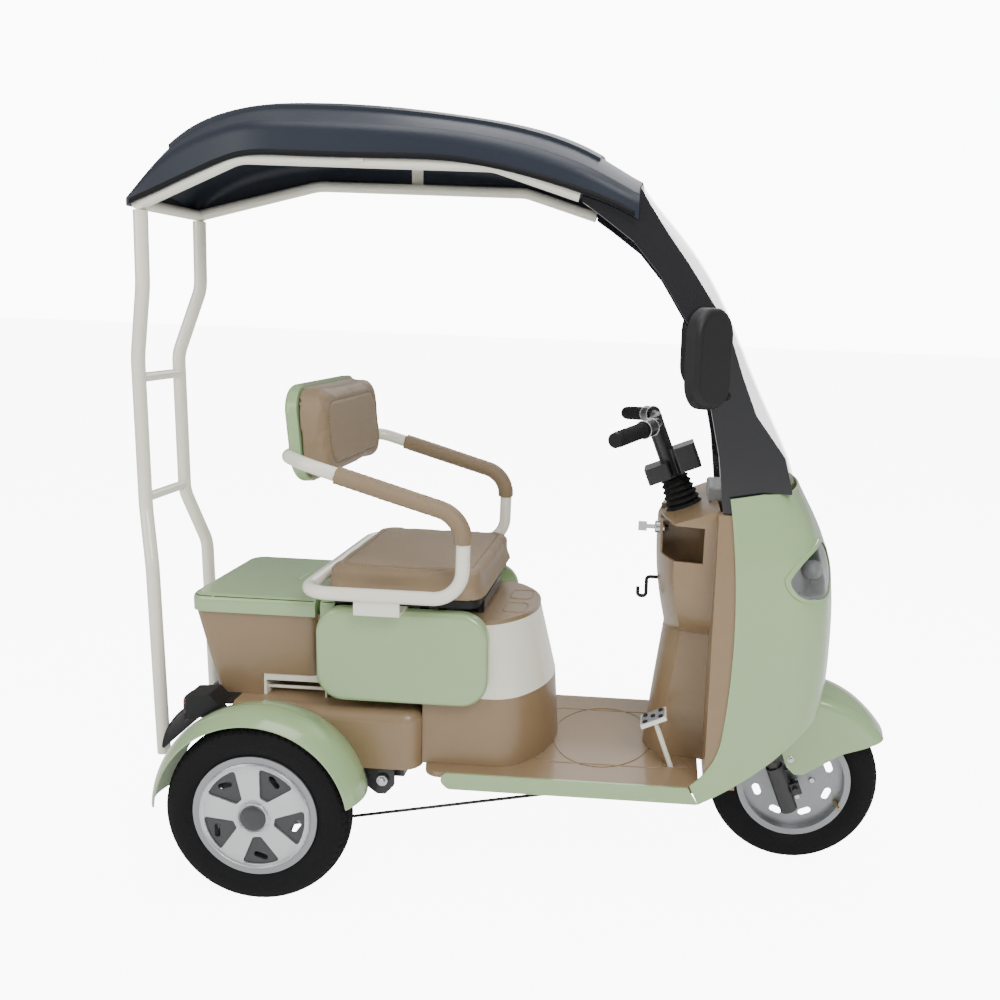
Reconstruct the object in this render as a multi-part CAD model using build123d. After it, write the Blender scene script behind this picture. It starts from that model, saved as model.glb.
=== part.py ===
from build123d import *
from math import cos, radians, sin
import os

os.makedirs("parts", exist_ok=True)

# Frame: +X forward, +Y to the rider's left, +Z up, wheels on Z = 0, millimetres.
# Stations named rear_* count forward from the rear axle, front_* from the front axle.

# Layout
wheelbase = 1202.0
half_track = 305.0
seat_gap = 0.3
pin_gap = 0.05
wall = 4.0

# Tyres and rims, 3.00-10 size
tyre_r = 205.0
tyre_half_w = 38.0
bead_half_w = 26.0
rim_r = 128.0
flange_r = 137.5
flange_t = 4.0
rim_wall = 5.0
hub_r = 34.0
drum_r = 62.0
drum_w = 24.0
disc_t = 4.0
rear_shaft_r = 12.0
front_shaft_r = 7.0
slot_count = 8
slot_ring_r = 92.0
slot_length = 32.0
slot_width = 17.0
cover_spokes = 5
cover_cap_r = 37.0
cover_dish = 9.0
cover_insert_t = 2.5

# Rear protective ladder
ladder_r = 15.0
ladder_belly_back = 349.0
ladder_top_back = 304.0
ladder_foot_back = 310.0
ladder_top_half = 130.0
ladder_belly_half = 90.0
ladder_foot_half = 131.0
ladder_foot_z = 235.0
ladder_top_z = 1490.0
ladder_bends_z = (1330.0, 1170.0, 830.0, 690.0)
ladder_bend_r = 110.0
rung_r = 11.0
rung_z = (846.0, 1124.0)

# Roof frame tube
roof_r = 13.0
roof_z = 1592.0
roof_half = 222.0
roof_rise_end = -41.0
roof_fall_start = -721.0
roof_front_end = -545.0
roof_front_z = 1540.0
roof_bend_r = 90.0
roof_cross_x = 206.0
roof_strap = (28.0, 4.0)

# Canopy shell
canopy_wall = 5.0
canopy_edge_room = 2.0
plateau_half = 150.0
plateau_rise = 6.0
plateau_span = (-225.0, 690.0)

# Steering
caster = 21.8
fork_offset = 29.7
fork_half = 60.0
fork_leg_r = 16.0
stem_r = 14.0
head_tube_r = 20.0
head_tube_span = (300.0, 470.0)
crown_z = 232.0
crown_h = 24.0
gaiter_span = (732.0, 800.0)
gaiter_r = (44.0, 34.0)
gaiter_ribs = 5
bar_r = 11.0
bar_t = 938.0
grip_r = 16.0
grip_length = 118.0
slider_r = 21.0
gaiter_top_r = 30.0
fender_bolt_r = 4.0
fender_bolts = ((-38.0, 337.0), (-19.0, 290.0))
reflector_t = 110.0

# Front mudguard
front_fender_r = 250.0
front_fender_t = 3.0
fender_side_y = fork_half + fork_leg_r + 5.0

# Floor and skirts
floor_z = 281.0
floor_t = 14.0
floor_half = 231.0
floor_rear = 340.0
skirt_t = 6.0
skirt_h = 38.0

# Pillars and screen
pillar_y = (186.0, 214.0)
screen_t = 3.0

# Front shield and its lamps
lamp_centre = (-73.0, -149.0, 770.0)
lamp_turn = 35.0
lamp_bezel = 9.0
lamp_bowl_depth = 42.0
shield_bow = 55.0
shield_corner = 88.0
shield_top_z = 948.0

# Leg liner
liner_wall_front = -226.0
liner_flange = 64.0
pocket_z = (650.0, 861.0)
pocket_mouth_z = 778.0
pocket_y = 50.0
lock_place = (-353.0, -60.0, 831.0)
lock_r = 14.0
hook_z = 694.0
hook_r = 4.5
pod_span = (-246.0, -203.0)
pod_top_z = 932.0

# Pedestal under the seat
pedestal_base_top = 440.0
pedestal_top = 606.0
pedestal_bow = 90.0
pedestal_corner = 90.0

# Side panels
side_panel_span = (98.0, 484.0)
side_panel_low = 433.0
side_panel_y = (200.0, 226.0)
side_panel_corner = 62.0

# Seat
seat_span = (109.0, 468.0)
seat_half = 216.0
seat_pan_z = 655.0
seat_pan_t = 18.0
seat_top_z = 736.0
seat_corner = 45.0
bracket_t = 5.0
frame_r = 15.0
frame_half = 265.0
frame_low_z = 695.0
frame_high_z = 978.0
frame_front = 438.0
frame_elbow_z = 876.0
pad_r = 21.0

# Backrest
back_half = 205.0
back_z = (914.0, 1130.0)
back_shell_t = 30.0
back_pad_t = 52.0
back_corner = 62.0
back_recline = 5.0

# Storage box and lid
box_span = (-206.0, 85.0)
box_half_top = 168.0
box_half_bottom = 158.0
box_z = (409.3, 607.7)
box_rear_lean = 44.0
lid_z = 608.0
lid_h = 40.0
lid_lap = 8.0
hood_length = 111.0
hinge = (86.0, 644.0)
hinge_r = 4.0
hinge_pin_r = 2.0
hinge_half = (30.0, 60.0)
strip_span = (93.0, 126.0)

# Rear deck and mudguards
deck_z = 405.0
deck_half = 222.0
deck_span = (-100.0, 330.0)
deck_low_z = 274.0
deck_corner = 40.0
fender_shift = (-5.0, -3.0)
fender_r = 238.0
fender_lip_r = 216.0
fender_root_r = 222.0
fender_crown_y = 285.0
fender_lip_y = 347.0
fender_t = 3.5
fender_arc = (10.0, 176.0)
valance_half = 214.0
lamp_y = (176.0, 236.0)

brake_rod = ((30.0, 113.0), (680.0, 239.0))
brake_rod_y = 200.0

# Frame tubes
rail_half = 95.0
rail_w = 40.0
rail_h = 26.0
rail_top = floor_z - floor_t - seat_gap
post_r = 11.0
ladder_arm_r = 10.0
arm_half = 202.0
post_x = (310.0, 440.0)

overhang_rear = ladder_belly_back + ladder_r
length = overhang_rear + wheelbase + tyre_r
rear_x = overhang_rear - length / 2
front_x = rear_x + wheelbase
axle_z = tyre_r

caster_cos = cos(radians(caster))
caster_sin = sin(radians(caster))
steer_origin = Vector(front_x - fork_offset * caster_cos, 0, axle_z - fork_offset * caster_sin)
steer = Plane(origin=steer_origin, x_dir=(caster_cos, 0, caster_sin), z_dir=(-caster_sin, 0, caster_cos))


def steer_point(forward, up):
    """World X and Z of a point given ahead of and along the steering axis."""
    x = steer_origin.X + forward * caster_cos - up * caster_sin
    z = steer_origin.Z + forward * caster_sin + up * caster_cos
    return x, z


def save(name, *solids):
    """Writes one node, a single solid or several that do not touch."""
    shapes = [s for part in solids for s in part.solids()]
    shape = shapes[0] if len(shapes) == 1 else Compound(children=shapes)
    export_step(shape, f"parts/{name}.step")


def both(part):
    """A piece and its mirror image on the other side."""
    return [part, mirror(part, about=Plane.XZ)]


def block(x0, x1, y0, y1, z0, z1):
    """A box between two corners."""
    box = Box(abs(x1 - x0), abs(y1 - y0), abs(z1 - z0))
    return Pos((x0 + x1) / 2, (y0 + y1) / 2, (z0 + z1) / 2) * box


def side_cut(face, y0, y1):
    """A side view outline, X and Z, carried from y0 to y1."""
    return extrude(Plane.XZ.offset(-y1) * face, amount=y1 - y0)


def tube(points, radius, bend):
    """A round bar along straight runs joined by tangent arcs."""
    path = FilletPolyline(*points, radius=bend) if len(points) > 2 else Line(*points)
    return sweep(Plane(origin=path @ 0, z_dir=path % 0) * Circle(radius), path=path)


def rod(p0, p1, radius):
    """A straight round bar between two points."""
    a, b = Vector(*p0), Vector(*p1)
    return extrude(Plane(origin=a, z_dir=b - a) * Circle(radius), amount=(b - a).length)


def spun(points):
    """A solid of revolution about Y from radius and Y pairs."""
    return revolve(make_face(Polyline(*points, close=True)), axis=Axis.Y)


def bow_face(x_rear, x_nose, half, bow, corner):
    """A plan outline with straight sides and a bowed, rounded front."""
    front = x_nose - bow
    edges = [
        Line((x_rear, half), (x_rear, -half)),
        Line((x_rear, -half), (front, -half)),
        ThreePointArc((front, -half), (x_nose, 0), (front, half)),
        Line((front, half), (x_rear, half)),
    ]
    face = make_face(edges)
    return fillet([v for v in face.vertices() if v.X > x_rear + 1], corner)


# Wheels
def tyre():
    """A closed tyre section with rounded shoulders, spun about the axle."""
    r0, r1 = rim_r + seat_gap, flange_r + 1.5
    bulge = (tyre_r + r1) / 2 - 6
    shoulder = (tyre_r - 15, tyre_half_w - 4)
    edges = [
        Line((r0, -bead_half_w), (r0, bead_half_w)),
        Line((r0, bead_half_w), (r1, bead_half_w)),
        ThreePointArc((r1, bead_half_w), (bulge, tyre_half_w), shoulder),
        ThreePointArc(shoulder, (tyre_r, 0), (shoulder[0], -shoulder[1])),
        ThreePointArc((shoulder[0], -shoulder[1]), (bulge, -tyre_half_w), (r1, -bead_half_w)),
        Line((r1, -bead_half_w), (r0, -bead_half_w)),
    ]
    return revolve(make_face(edges), axis=Axis.Y)


def rim(shaft_r, disc_y, drum_side):
    """Rim barrel, slotted disc and drum hub in one, bored for the axle."""
    inner = rim_r - rim_wall
    edge = bead_half_w + seat_gap
    barrel = spun([
        (inner, -edge - flange_t), (flange_r, -edge - flange_t), (flange_r, -edge), (rim_r, -edge),
        (rim_r, edge), (flange_r, edge), (flange_r, edge + flange_t), (inner, edge + flange_t),
    ])
    disc = spun([
        (hub_r - 2, disc_y - disc_t / 2), (inner + 1, disc_y - disc_t / 2),
        (inner + 1, disc_y + disc_t / 2), (hub_r - 2, disc_y + disc_t / 2),
    ])
    drum_end = disc_y + drum_side * drum_w
    drum = spun([(hub_r - 2, disc_y), (drum_r, disc_y), (drum_r, drum_end), (hub_r - 2, drum_end)])
    bore = shaft_r + pin_gap
    hub = spun([(bore, -edge), (hub_r, -edge), (hub_r, edge), (bore, edge)])
    slot = Rot(90, 0, 0) * extrude(SlotOverall(slot_length, slot_width), amount=2 * disc_t, both=True)
    body = barrel + disc + drum + hub
    for k in range(slot_count):
        turn = Rot(0, 360 * (k + 0.5) / slot_count, 0)
        body -= turn * (Pos(slot_ring_r, disc_y, 0) * Rot(0, 90, 0) * slot)
    return body


def wheel_cover():
    """Star cover with five broad spokes and its cap, and the dark slotted disc behind it."""
    r = rim_r - rim_wall - seat_gap
    y = bead_half_w + flange_t
    cap = cover_cap_r
    plate = spun([
        (0, y), (0, y + cover_dish), (cap - 9, y + cover_dish), (cap, y + cover_dish - 3),
        (cap + 4, y + 5), (r - 9, y + 3), (r - 5, y + 5), (r, y + 2), (r, y - 2), (r - 8, y),
    ])
    window = make_face([
        Line((46, -9), (104, -42)), ThreePointArc((104, -42), (r - 11, 0), (104, 42)),
        Line((104, 42), (46, 9)), Line((46, 9), (46, -9)),
    ])
    window = fillet(window.vertices(), 6)
    cut = Rot(90, 0, 0) * extrude(window, amount=60, both=True)
    slot = Rot(90, 0, 0) * extrude(Pos(93, 0) * Rot(0, 0, 65) * SlotOverall(32, 13), amount=60, both=True)
    back = y - seat_gap
    front = back - cover_insert_t
    disc = spun([(cap - 9, front), (cap - 9, back), (r - 9, back), (r - 9, front)])
    for k in range(cover_spokes):
        turn = Rot(0, 360 * k / cover_spokes - 61, 0)
        plate -= turn * cut
        disc -= turn * slot
    return plate, disc


def wheels():
    """Three wheels, the rear pair with covers on the outer side."""
    save("front_tyre", Pos(front_x, 0, axle_z) * tyre())
    save("front_rim", Pos(front_x, 0, axle_z) * rim(front_shaft_r, -8, 1))
    for side, name in ((-1, "right"), (1, "left")):
        place = Pos(rear_x, side * half_track, axle_z)
        save(f"rear_tyre_{name}", place * tyre())
        save(f"rear_rim_{name}", place * rim(rear_shaft_r, side * 10, -side))
        for piece, part in zip(("cover", "insert"), wheel_cover()):
            save(f"rear_{piece}_{name}", place * (part if side > 0 else mirror(part, about=Plane.XZ)))


def rear_axle():
    """Axle tubes with the drive housing, trailing arms and backing plates."""
    tube_end = half_track - bead_half_w - 22
    parts = Rot(90, 0, 0) * Cylinder(25, 2 * tube_end)
    parts += Sphere(68)
    parts += Pos(78, 0, 6) * Rot(90, 0, 0) * Cylinder(58, 170)
    parts += block(0, 78, -40, 40, -46, 50)
    for side in (-1, 1):
        shaft_end = half_track + bead_half_w + 2
        parts += rod((0, side * (tube_end - 5), 0), (0, side * shaft_end, 0), rear_shaft_r)
        parts += rod((0, side * (tube_end - 6), 0), (0, side * tube_end, 0), drum_r)
        arm = make_face(Polyline((-34, -14), (-30, 22), (40, 30), (240, 58), (264, 40), (240, 22), close=True))
        y0, y1 = sorted((side * (arm_half - 4), side * (arm_half + 4)))
        pin = Pos(246, 0, 40) * Rot(90, 0, 0) * Cylinder(8 + seat_gap, 900)
        parts += side_cut(fillet(arm.vertices(), 8), y0, y1) - pin
        tip = (brake_rod[0][0] - 6.5, side * brake_rod_y, brake_rod[0][1] - axle_z)
        parts += rod((-14, side * (tube_end - 12), -12), tip, 5) + Pos(*tip) * Sphere(6)
    save("rear_axle", Pos(rear_x, 0, axle_z) * parts)


def shocks():
    """Spring units standing on the axle tube under the rear rails."""
    low = axle_z + 25 + seat_gap
    high = deck_z - 8 - rail_h - seat_gap
    turns = 6
    pts = [(0, low), (22, low), (22, low + 6)]
    for k in range(turns):
        z = low + 10 + (high - low - 24) * k / turns
        pts += [(15, z), (24, z + 4), (24, z + 9), (15, z + 13)]
    pts += [(22, high - 6), (22, high), (0, high)]
    spring = revolve(Plane.XZ * make_face(Polyline(*pts, close=True)), axis=Axis.Z)
    save("rear_shocks", *both(Pos(rear_x - 12, rail_half + 5, 0) * spring))


def brake_rods():
    """Thin brake rods under the floor, each hung on a small bracket."""
    (x0, z0), (x1, z1) = brake_rod
    top = floor_z - floor_t - seat_gap
    y = brake_rod_y
    start = (rear_x + x0, y, z0)
    end = (rear_x + x1, y, z1)
    hanger = block(rear_x + x1 - 12, rear_x + x1 + 16, y - 12, y + 12, top - 5, top)
    hanger += block(rear_x + x1 - 9, rear_x + x1 + 9, y - 4, y + 4, z1 - 12, top - 4)
    hanger += rod((rear_x + x1, y - 16, z1), (rear_x + x1, y + 16, z1), 5)
    save("brake_rods", *both(rod(start, end, 3.5) + hanger))


# Chassis
def ladder_arms():
    """Centre lines of the two tubes that hold the ladder's feet."""
    z = deck_z - 22
    end = rear_x - ladder_foot_back + ladder_r + 6
    paths = []
    for side in (-1, 1):
        root, knee = (rear_x - 140, side * rail_half, z), (rear_x - 200, side * rail_half, z - 6)
        paths.append([root, knee, (end, side * ladder_foot_half, 300)])
    return paths


def chassis():
    """Welded frame: floor rails, rear kick-up, seat posts, down tube and head tube."""
    z0, z1 = rail_top - rail_h, rail_top
    kick_x = rear_x + 268
    nose_x = front_x - 262
    rear_z = deck_z - 8
    parts = block(nose_x - 30, nose_x, -rail_half - 20, rail_half + 20, z0, z1)
    for side in (-1, 1):
        y0, y1 = side * rail_half - rail_w / 2, side * rail_half + rail_w / 2
        parts += block(kick_x - 20, nose_x, y0, y1, z0, z1)
        parts += block(kick_x - 20, kick_x + 20, y0, y1, z0, rear_z)
        parts += block(rear_x - 150, kick_x, y0, y1, rear_z - rail_h, rear_z)
    parts += block(kick_x - 20, kick_x + 20, -188, 188, z0, z1)
    parts += rod((rear_x + 246, -arm_half - 11, axle_z + 40), (rear_x + 246, arm_half + 11, axle_z + 40), 8)
    parts += block(rear_x - 150, rear_x - 120, -rail_half, rail_half, rear_z - rail_h, rear_z)
    ring_z = (seat_pan_z - 30, seat_pan_z - bracket_t - seat_gap)
    for side in (-1, 1):
        for x in post_x:
            foot, head = (rear_x + x, side * rail_half, z1 - 6), (rear_x + x, side * rail_half, ring_z[0] + 4)
            parts += rod(foot, head, post_r)
        y0, y1 = sorted((side * (rail_half - 14), side * (rail_half + 14)))
        parts += block(rear_x + 130, rear_x + post_x[1] + 14, y0, y1, *ring_z)
    for x in (144, 300, 440):
        parts += block(rear_x + x - 14, rear_x + x + 14, -rail_half, rail_half, *ring_z)
    head_mid = sum(head_tube_span) / 2
    hx, hz = steer_point(0, head_mid)
    parts += tube([(nose_x - 14, 0, z0 + 6), (nose_x + 8, 0, z0 + 190), (hx, 0, hz)], 16, 90)
    head = steer * (Pos(0, 0, head_mid) * Cylinder(head_tube_r + 5, head_tube_span[1] - head_tube_span[0]))
    head_length = head_tube_span[1] - head_tube_span[0]
    bore = steer * (Pos(0, 0, head_mid) * Cylinder(stem_r + pin_gap, head_length + 80))
    parts = parts + head - bore
    for path in ladder_arms():
        parts += tube(path, ladder_arm_r, 40)
    save("chassis_frame", parts)


def pivots():
    """Black pivot brackets ahead of the rear wheels, each with its bolt."""
    outline = make_face(Polyline((-56, 26), (26, 26), (26, -14), (6, -36), (-14, -36), (-56, -4), close=True))
    y0 = arm_half + 6
    y1 = arm_half + 11 + seat_gap
    bracket = side_cut(fillet(outline.vertices(), 8), y0, y0 + 6)
    bracket += rod((0, y0 + 5.9, 0), (0, arm_half + 18, 0), 14)
    bracket -= rod((0, y0 - 1, 0), (0, y1, 0), 8 + seat_gap)
    save("pivot_brackets", *both(Pos(rear_x + 246, 0, axle_z + 40) * bracket))


# Rear end
def ladder():
    """Two bent posts joined by two rungs, behind the storage box."""
    belly = rear_x - ladder_belly_back
    top = rear_x - ladder_top_back
    foot = rear_x - ladder_foot_back
    z1, z2, z3, z4 = ladder_bends_z
    points = [
        (top, ladder_top_half, ladder_top_z), (top - 3, ladder_top_half, z1), (belly, ladder_belly_half, z2),
        (belly + 1, ladder_belly_half, z3), (foot - 6, ladder_foot_half, z4),
        (foot, ladder_foot_half, ladder_foot_z),
    ]
    post = tube(points, ladder_r, ladder_bend_r)
    parts = post + mirror(post, about=Plane.XZ)
    for z in rung_z:
        parts += rod((belly + 1, -ladder_belly_half, z), (belly + 1, ladder_belly_half, z), rung_r)
    save("rear_ladder", parts)


def roof_frame():
    """Two side tubes over the ladder's cross tube, with an arched strap under the canopy."""
    top = rear_x - ladder_top_back
    z0 = ladder_top_z + roof_r + seat_gap
    parts = rod((top, -ladder_top_half - 12, z0), (top, ladder_top_half + 12, z0), roof_r)
    points = [
        (top, ladder_top_half, z0), (rear_x + roof_rise_end, roof_half, roof_z),
        (front_x + roof_fall_start, roof_half, roof_z), (front_x + roof_front_end, roof_half - 6, roof_front_z),
    ]
    side = tube(points, roof_r, roof_bend_r)
    parts += side + mirror(side, about=Plane.XZ)
    parts -= canopy_form(0) - canopy_form(canopy_wall + seat_gap)
    x = rear_x + roof_cross_x
    width, thick = roof_strap
    seat = canopy_wall + seat_gap
    strap = canopy_form(seat) - canopy_form(seat + thick)
    parts += strap & block(x - width / 2, x + width / 2, -300, 300, roof_z - 4, 1800)
    save("roof_frame", parts)


# Canopy stations: X, crown Z, edge Z
def canopy_stations():
    """Stations of the canopy from back to front."""
    return [
        (rear_x - 324, 1538, 1496, 150, 10), (rear_x - 305, 1568, 1505, 153, 16),
        (rear_x - 262, 1628, 1519, 166, 24), (rear_x - 194, 1684, 1542, 190, 30),
        (rear_x - 110, 1714, 1570, 218, 30), (rear_x - 20, 1727, 1593, 241, 30),
        (rear_x + 60, 1731, 1596, 243, 30), (rear_x + 230, 1728, 1596, 243, 30),
        (front_x - 794, 1712, 1594, 243, 30), (front_x - 620, 1682, 1564, 240, 30),
        (front_x - 520, 1644, 1536, 237, 28), (front_x - 425, 1594, 1496, 232, 24),
    ]


def arch(x, crown, edge, half, corner, inset):
    """A filled arch section across the vehicle at one station."""
    w = half - inset
    top = crown - inset
    side_top = edge + (crown - edge) * 0.45 - inset
    low = edge - (10 if inset else 0)
    edges = [
        Line((-w, low), (w, low)), Line((w, low), (w, side_top)),
        ThreePointArc((w, side_top), (0, top), (-w, side_top)), Line((-w, side_top), (-w, low)),
    ]
    face = make_face(edges)
    corners = [v for v in face.vertices() if v.Y > low + 1]
    return Plane.YZ.offset(x) * fillet(corners, corner)


def canopy_form(inset):
    """The canopy's filled form, its skin moved in by the inset."""
    rows = canopy_stations()
    if inset > 0:
        x, *rest = rows[0]
        rows[0] = (x + inset, *rest)
    return loft([arch(*row, inset) for row in rows])


def canopy():
    """Domed roof moulding, open below, with a raised centre panel."""
    x0, x1 = rear_x + plateau_span[0], rear_x + plateau_span[1]
    panel = canopy_form(-plateau_rise) & block(x0, x1, -plateau_half, plateau_half, 1600, 1800)
    save("canopy", canopy_form(0) + panel - canopy_form(canopy_wall))


def rear_deck():
    """Saddle cover over the axle, with an arch wall inside each mudguard."""
    x0, x1 = rear_x + deck_span[0], rear_x + deck_span[1]
    top, low = deck_z + wall, deck_low_z

    def hull(inset):
        face = make_face(Polyline((x0 - 20, -deck_half + inset), (x1 - inset, -deck_half + inset),
                                  (x1 - inset, deck_half - inset), (x0 - 20, deck_half - inset), close=True))
        face = fillet([v for v in face.vertices() if v.X > x0], deck_corner - inset)
        base = low - (1 if inset else 0)
        body = extrude(Plane.XY.offset(base) * face, amount=top - inset - base)
        edges = body.faces().sort_by(Axis.Z)[-1].edges()
        return fillet(edges.filter_by(lambda e: e.center().X > x0), 26 - inset)

    shell = hull(0) - hull(wall) - block(x0 - 40, x0, -300, 300, low - 10, top + 10)
    fx, fz = rear_x + fender_shift[0], axle_z + fender_shift[1]
    arch_wall = Pos(fx, 0, fz) * Rot(90, 0, 0) * Cylinder(fender_root_r - seat_gap, 2 * deck_half)
    arch_wall -= Pos(fx, 0, fz) * Rot(90, 0, 0) * Cylinder(fender_root_r, 2 * (deck_half - wall))
    arch_wall = arch_wall & block(x0, x1, -300, 300, axle_z + 120, 600)
    wheel_room = Pos(rear_x, 0, axle_z) * Rot(90, 0, 0) * Cylinder(tyre_r - 30, 2 * deck_half + 10)
    rear_room = block(x0 - 1, rear_x, -deck_half - 1, deck_half + 1, low - 1, axle_z + 120)
    posts = [
        Pos(rear_x + post_x[0], side * rail_half, top) * Cylinder(post_r + seat_gap, 40) for side in (-1, 1)
    ]
    save("rear_deck", shell + arch_wall - wheel_room - rear_room - posts)


def fender_place():
    """Where the rear mudguards' centre lies."""
    return Pos(rear_x + fender_shift[0], 0, axle_z + fender_shift[1])


def fenders():
    """Domed rear mudguards from the deck's arch walls to the rolled outer lip."""
    t = fender_t
    root = (fender_root_r, deck_half + seat_gap)
    crown = (fender_r, fender_crown_y)
    lip = (fender_lip_r, fender_lip_y)
    mid_y, end_y = (root[1] + crown[1]) / 2, (crown[1] + lip[1]) / 2 + 4
    root_in, crown_in, lip_in = (root[0] - t, root[1]), (crown[0] - t, crown[1]), (lip[0] - t, lip[1] - 1)
    edges = [
        ThreePointArc(root, (fender_r - 5, mid_y), crown), ThreePointArc(crown, (fender_r - 6, end_y), lip),
        Line(lip, lip_in), ThreePointArc(lip_in, (fender_r - 6 - t, end_y - 1), crown_in),
        ThreePointArc(crown_in, (fender_r - 5 - t, mid_y), root_in), Line(root_in, root),
    ]
    a0, a1 = fender_arc
    guard = revolve(make_face(edges), axis=Axis.Y, revolution_arc=a1 - a0)
    save("rear_fenders", *both(fender_place() * Rot(0, -a1, 0) * guard))


def valance_line(drop):
    """The rear valance's side line, from the deck back and down."""
    x0, z0 = rear_x + deck_span[0] - seat_gap, deck_z + wall - drop
    bend = (x0 - 78, z0)
    foot = (x0 - 168 + drop, z0 - 118)
    return [Line((x0, z0), bend), ThreePointArc(bend, (x0 - 136 + drop / 2, z0 - 44), foot)]


def valance():
    """Black panel closing the rear between the mudguards."""
    upper, lower = valance_line(0), valance_line(wall)
    foot, heel = upper[1] @ 1, lower[1] @ 1
    head, nose = upper[0] @ 0, lower[0] @ 0
    face = make_face([*upper, *lower, Line(foot, heel), Line(head, nose)])
    panel = side_cut(face, -valance_half, valance_half)
    for path in ladder_arms():
        panel -= tube(path, ladder_arm_r + seat_gap, 40)
    reach = rail_half + rail_w
    rail_back = block(rear_x - 150 - seat_gap, rear_x - 90, -reach, reach, 300, deck_z - 8)
    save("rear_valance", panel - rail_back)


def tail_lamps():
    """Lamp housings over the rear of the mudguards, each with its lens."""
    x0, x1 = rear_x - 196, rear_x - 106
    outline = make_face(Polyline((x0, 372), (x0, 430), (x0 + 54, 434), (x1, 396), (x1 - 14, 372), close=True))
    body = side_cut(fillet(outline.vertices(), 6), *lamp_y)
    guard_room = fender_place() * Rot(90, 0, 0) * Cylinder(fender_r + seat_gap, 600)
    guard_room = guard_room & block(x0 - 40, x1 + 40, deck_half, 300, 200, 500)
    line = valance_line(-seat_gap)
    end = line[1] @ 1
    under = make_face([*line, Line(end, (end.X, 250)), Line((end.X, 250), (rear_x - 90, 250)),
                       Line((rear_x - 90, 250), line[0] @ 0)])
    rear_shape = side_cut(under, 0, valance_half + seat_gap)
    body -= rear_shape
    body = body - guard_room
    body = body.solids().sort_by(SortBy.VOLUME)[-1]
    save("tail_lamp_housings", *both(body))
    mid = sum(lamp_y) / 2
    lens = Pos(x0 - seat_gap, mid, 401) * Rot(0, -90, 0) * extrude(RectangleRounded(44, 50, 14), amount=10)
    lens = fillet(lens.faces().sort_by(Axis.X)[0].edges(), 5)
    save("tail_lamp_lenses", *both(lens - rear_shape))


# Storage box
def box():
    """Open bin with leaning rear wall, its hood under the seat and a cream rail under it."""
    x0, x1 = rear_x + box_span[0], rear_x + box_span[1]
    z0, z1 = box_z

    def bin_face(z, inset):
        k = (z1 - z) / (z1 - z0)
        half = box_half_top - (box_half_top - box_half_bottom) * k - inset
        rear = x0 + box_rear_lean * k + inset
        front = x1 - inset
        face = make_face(Polyline((rear, -half), (front, -half), (front, half), (rear, half), close=True))
        return Plane.XY.offset(z) * fillet(face.vertices(), 26 - inset)

    outer = loft([bin_face(z0, 0), bin_face(z1, 0)])
    inner = loft([bin_face(z0 + wall, wall), bin_face(z1 + 1, wall)])
    body = outer - inner
    step = block(rear_x - 50, x1 + 1, -box_half_top - 5, box_half_top + 5, z0 - 1, z0 + 52)
    shelf = block(rear_x - 50 - wall, x1 - wall, -150, 150, z0 + 52, z0 + 52 + wall)
    body = body - step + shelf
    half = box_half_bottom
    hood = block(x1 - 20, x1 + hood_length, -half, half, z0 + 52, z1)
    hood -= block(x1 - 21, x1 + hood_length + 1, -half + wall, half - wall, z0 + 51, z1 - wall)
    save("box_body", body + (hood - block(x1 - 21, x1 - wall, -half - 1, half + 1, z0, z1 + 1)))
    rail_z = z0 + 51.7
    rail = block(rear_x - 49, x1 + 14, -box_half_bottom, box_half_bottom, rail_z - 16, rail_z)
    rail += block(rear_x - 49, rear_x - 43, -box_half_bottom, box_half_bottom, deck_z + wall + seat_gap, rail_z)
    for side in (-1, 1):
        rail += rod((rear_x - 46, side * 140, rail_z - 38), (x1 + 14, side * 140, rail_z - 38), 4)
    rail += block(x1 + 10, x1 + 14, -box_half_bottom, box_half_bottom, deck_z + wall + seat_gap, rail_z)
    save("box_rail", rail)


def lid():
    """Shallow domed lid with a rolled skirt, hinged along its front edge."""
    x0 = rear_x + box_span[0] - lid_lap
    x1 = rear_x + box_span[1] - 4
    half = box_half_top + lid_lap

    def lid_face(z, inset, side_inset):
        pts = [(x0 + inset, -half + inset), (x1 - side_inset, -half + inset),
               (x1 - side_inset, half - inset), (x0 + inset, half - inset)]
        face = make_face(Polyline(*pts, close=True))
        rear = [v for v in face.vertices() if v.X < x0 + inset + 1]
        return Plane.XY.offset(z) * fillet(rear, 40 - min(inset, 20))

    body = extrude(lid_face(lid_z, 0, 0), amount=lid_h)
    body = fillet(body.faces().sort_by(Axis.Z)[-1].edges().filter_by(lambda e: e.center().X < x1 - 1), 16)
    body -= extrude(lid_face(lid_z - 1, wall, wall), amount=lid_h - wall + 1)
    hx, hz = rear_x + hinge[0], hinge[1]
    inner, outer = hinge_half
    body += rod((hx, -inner, hz), (hx, inner, hz), hinge_r)
    body += block(x1 - 2, hx - 1, -inner, inner, hz - 3, hz + 3)
    save("box_lid", body - rod((hx, -inner - 1, hz), (hx, inner + 1, hz), hinge_pin_r + pin_gap))
    s0, s1 = rear_x + strip_span[0], rear_x + strip_span[1]
    strip = block(s0, s1, -half, half, lid_z, lid_z + lid_h)
    strip = fillet(strip.edges().filter_by(Axis.X).sort_by(Axis.Z)[-2:], 16)
    strip -= block(s0 + wall, s1 - wall, -half + wall, half - wall, lid_z - 1, lid_z + lid_h - wall)
    for side in (-1, 1):
        y0, y1 = sorted((side * (inner + 0.5), side * outer))
        strip += rod((hx, y0, hz), (hx, y1, hz), hinge_r) + block(hx + 1, s0 + 1, y0, y1, hz - 3, hz + 3)
    save("lid_strip", strip + rod((hx, -outer, hz), (hx, outer, hz), hinge_pin_r))


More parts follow.
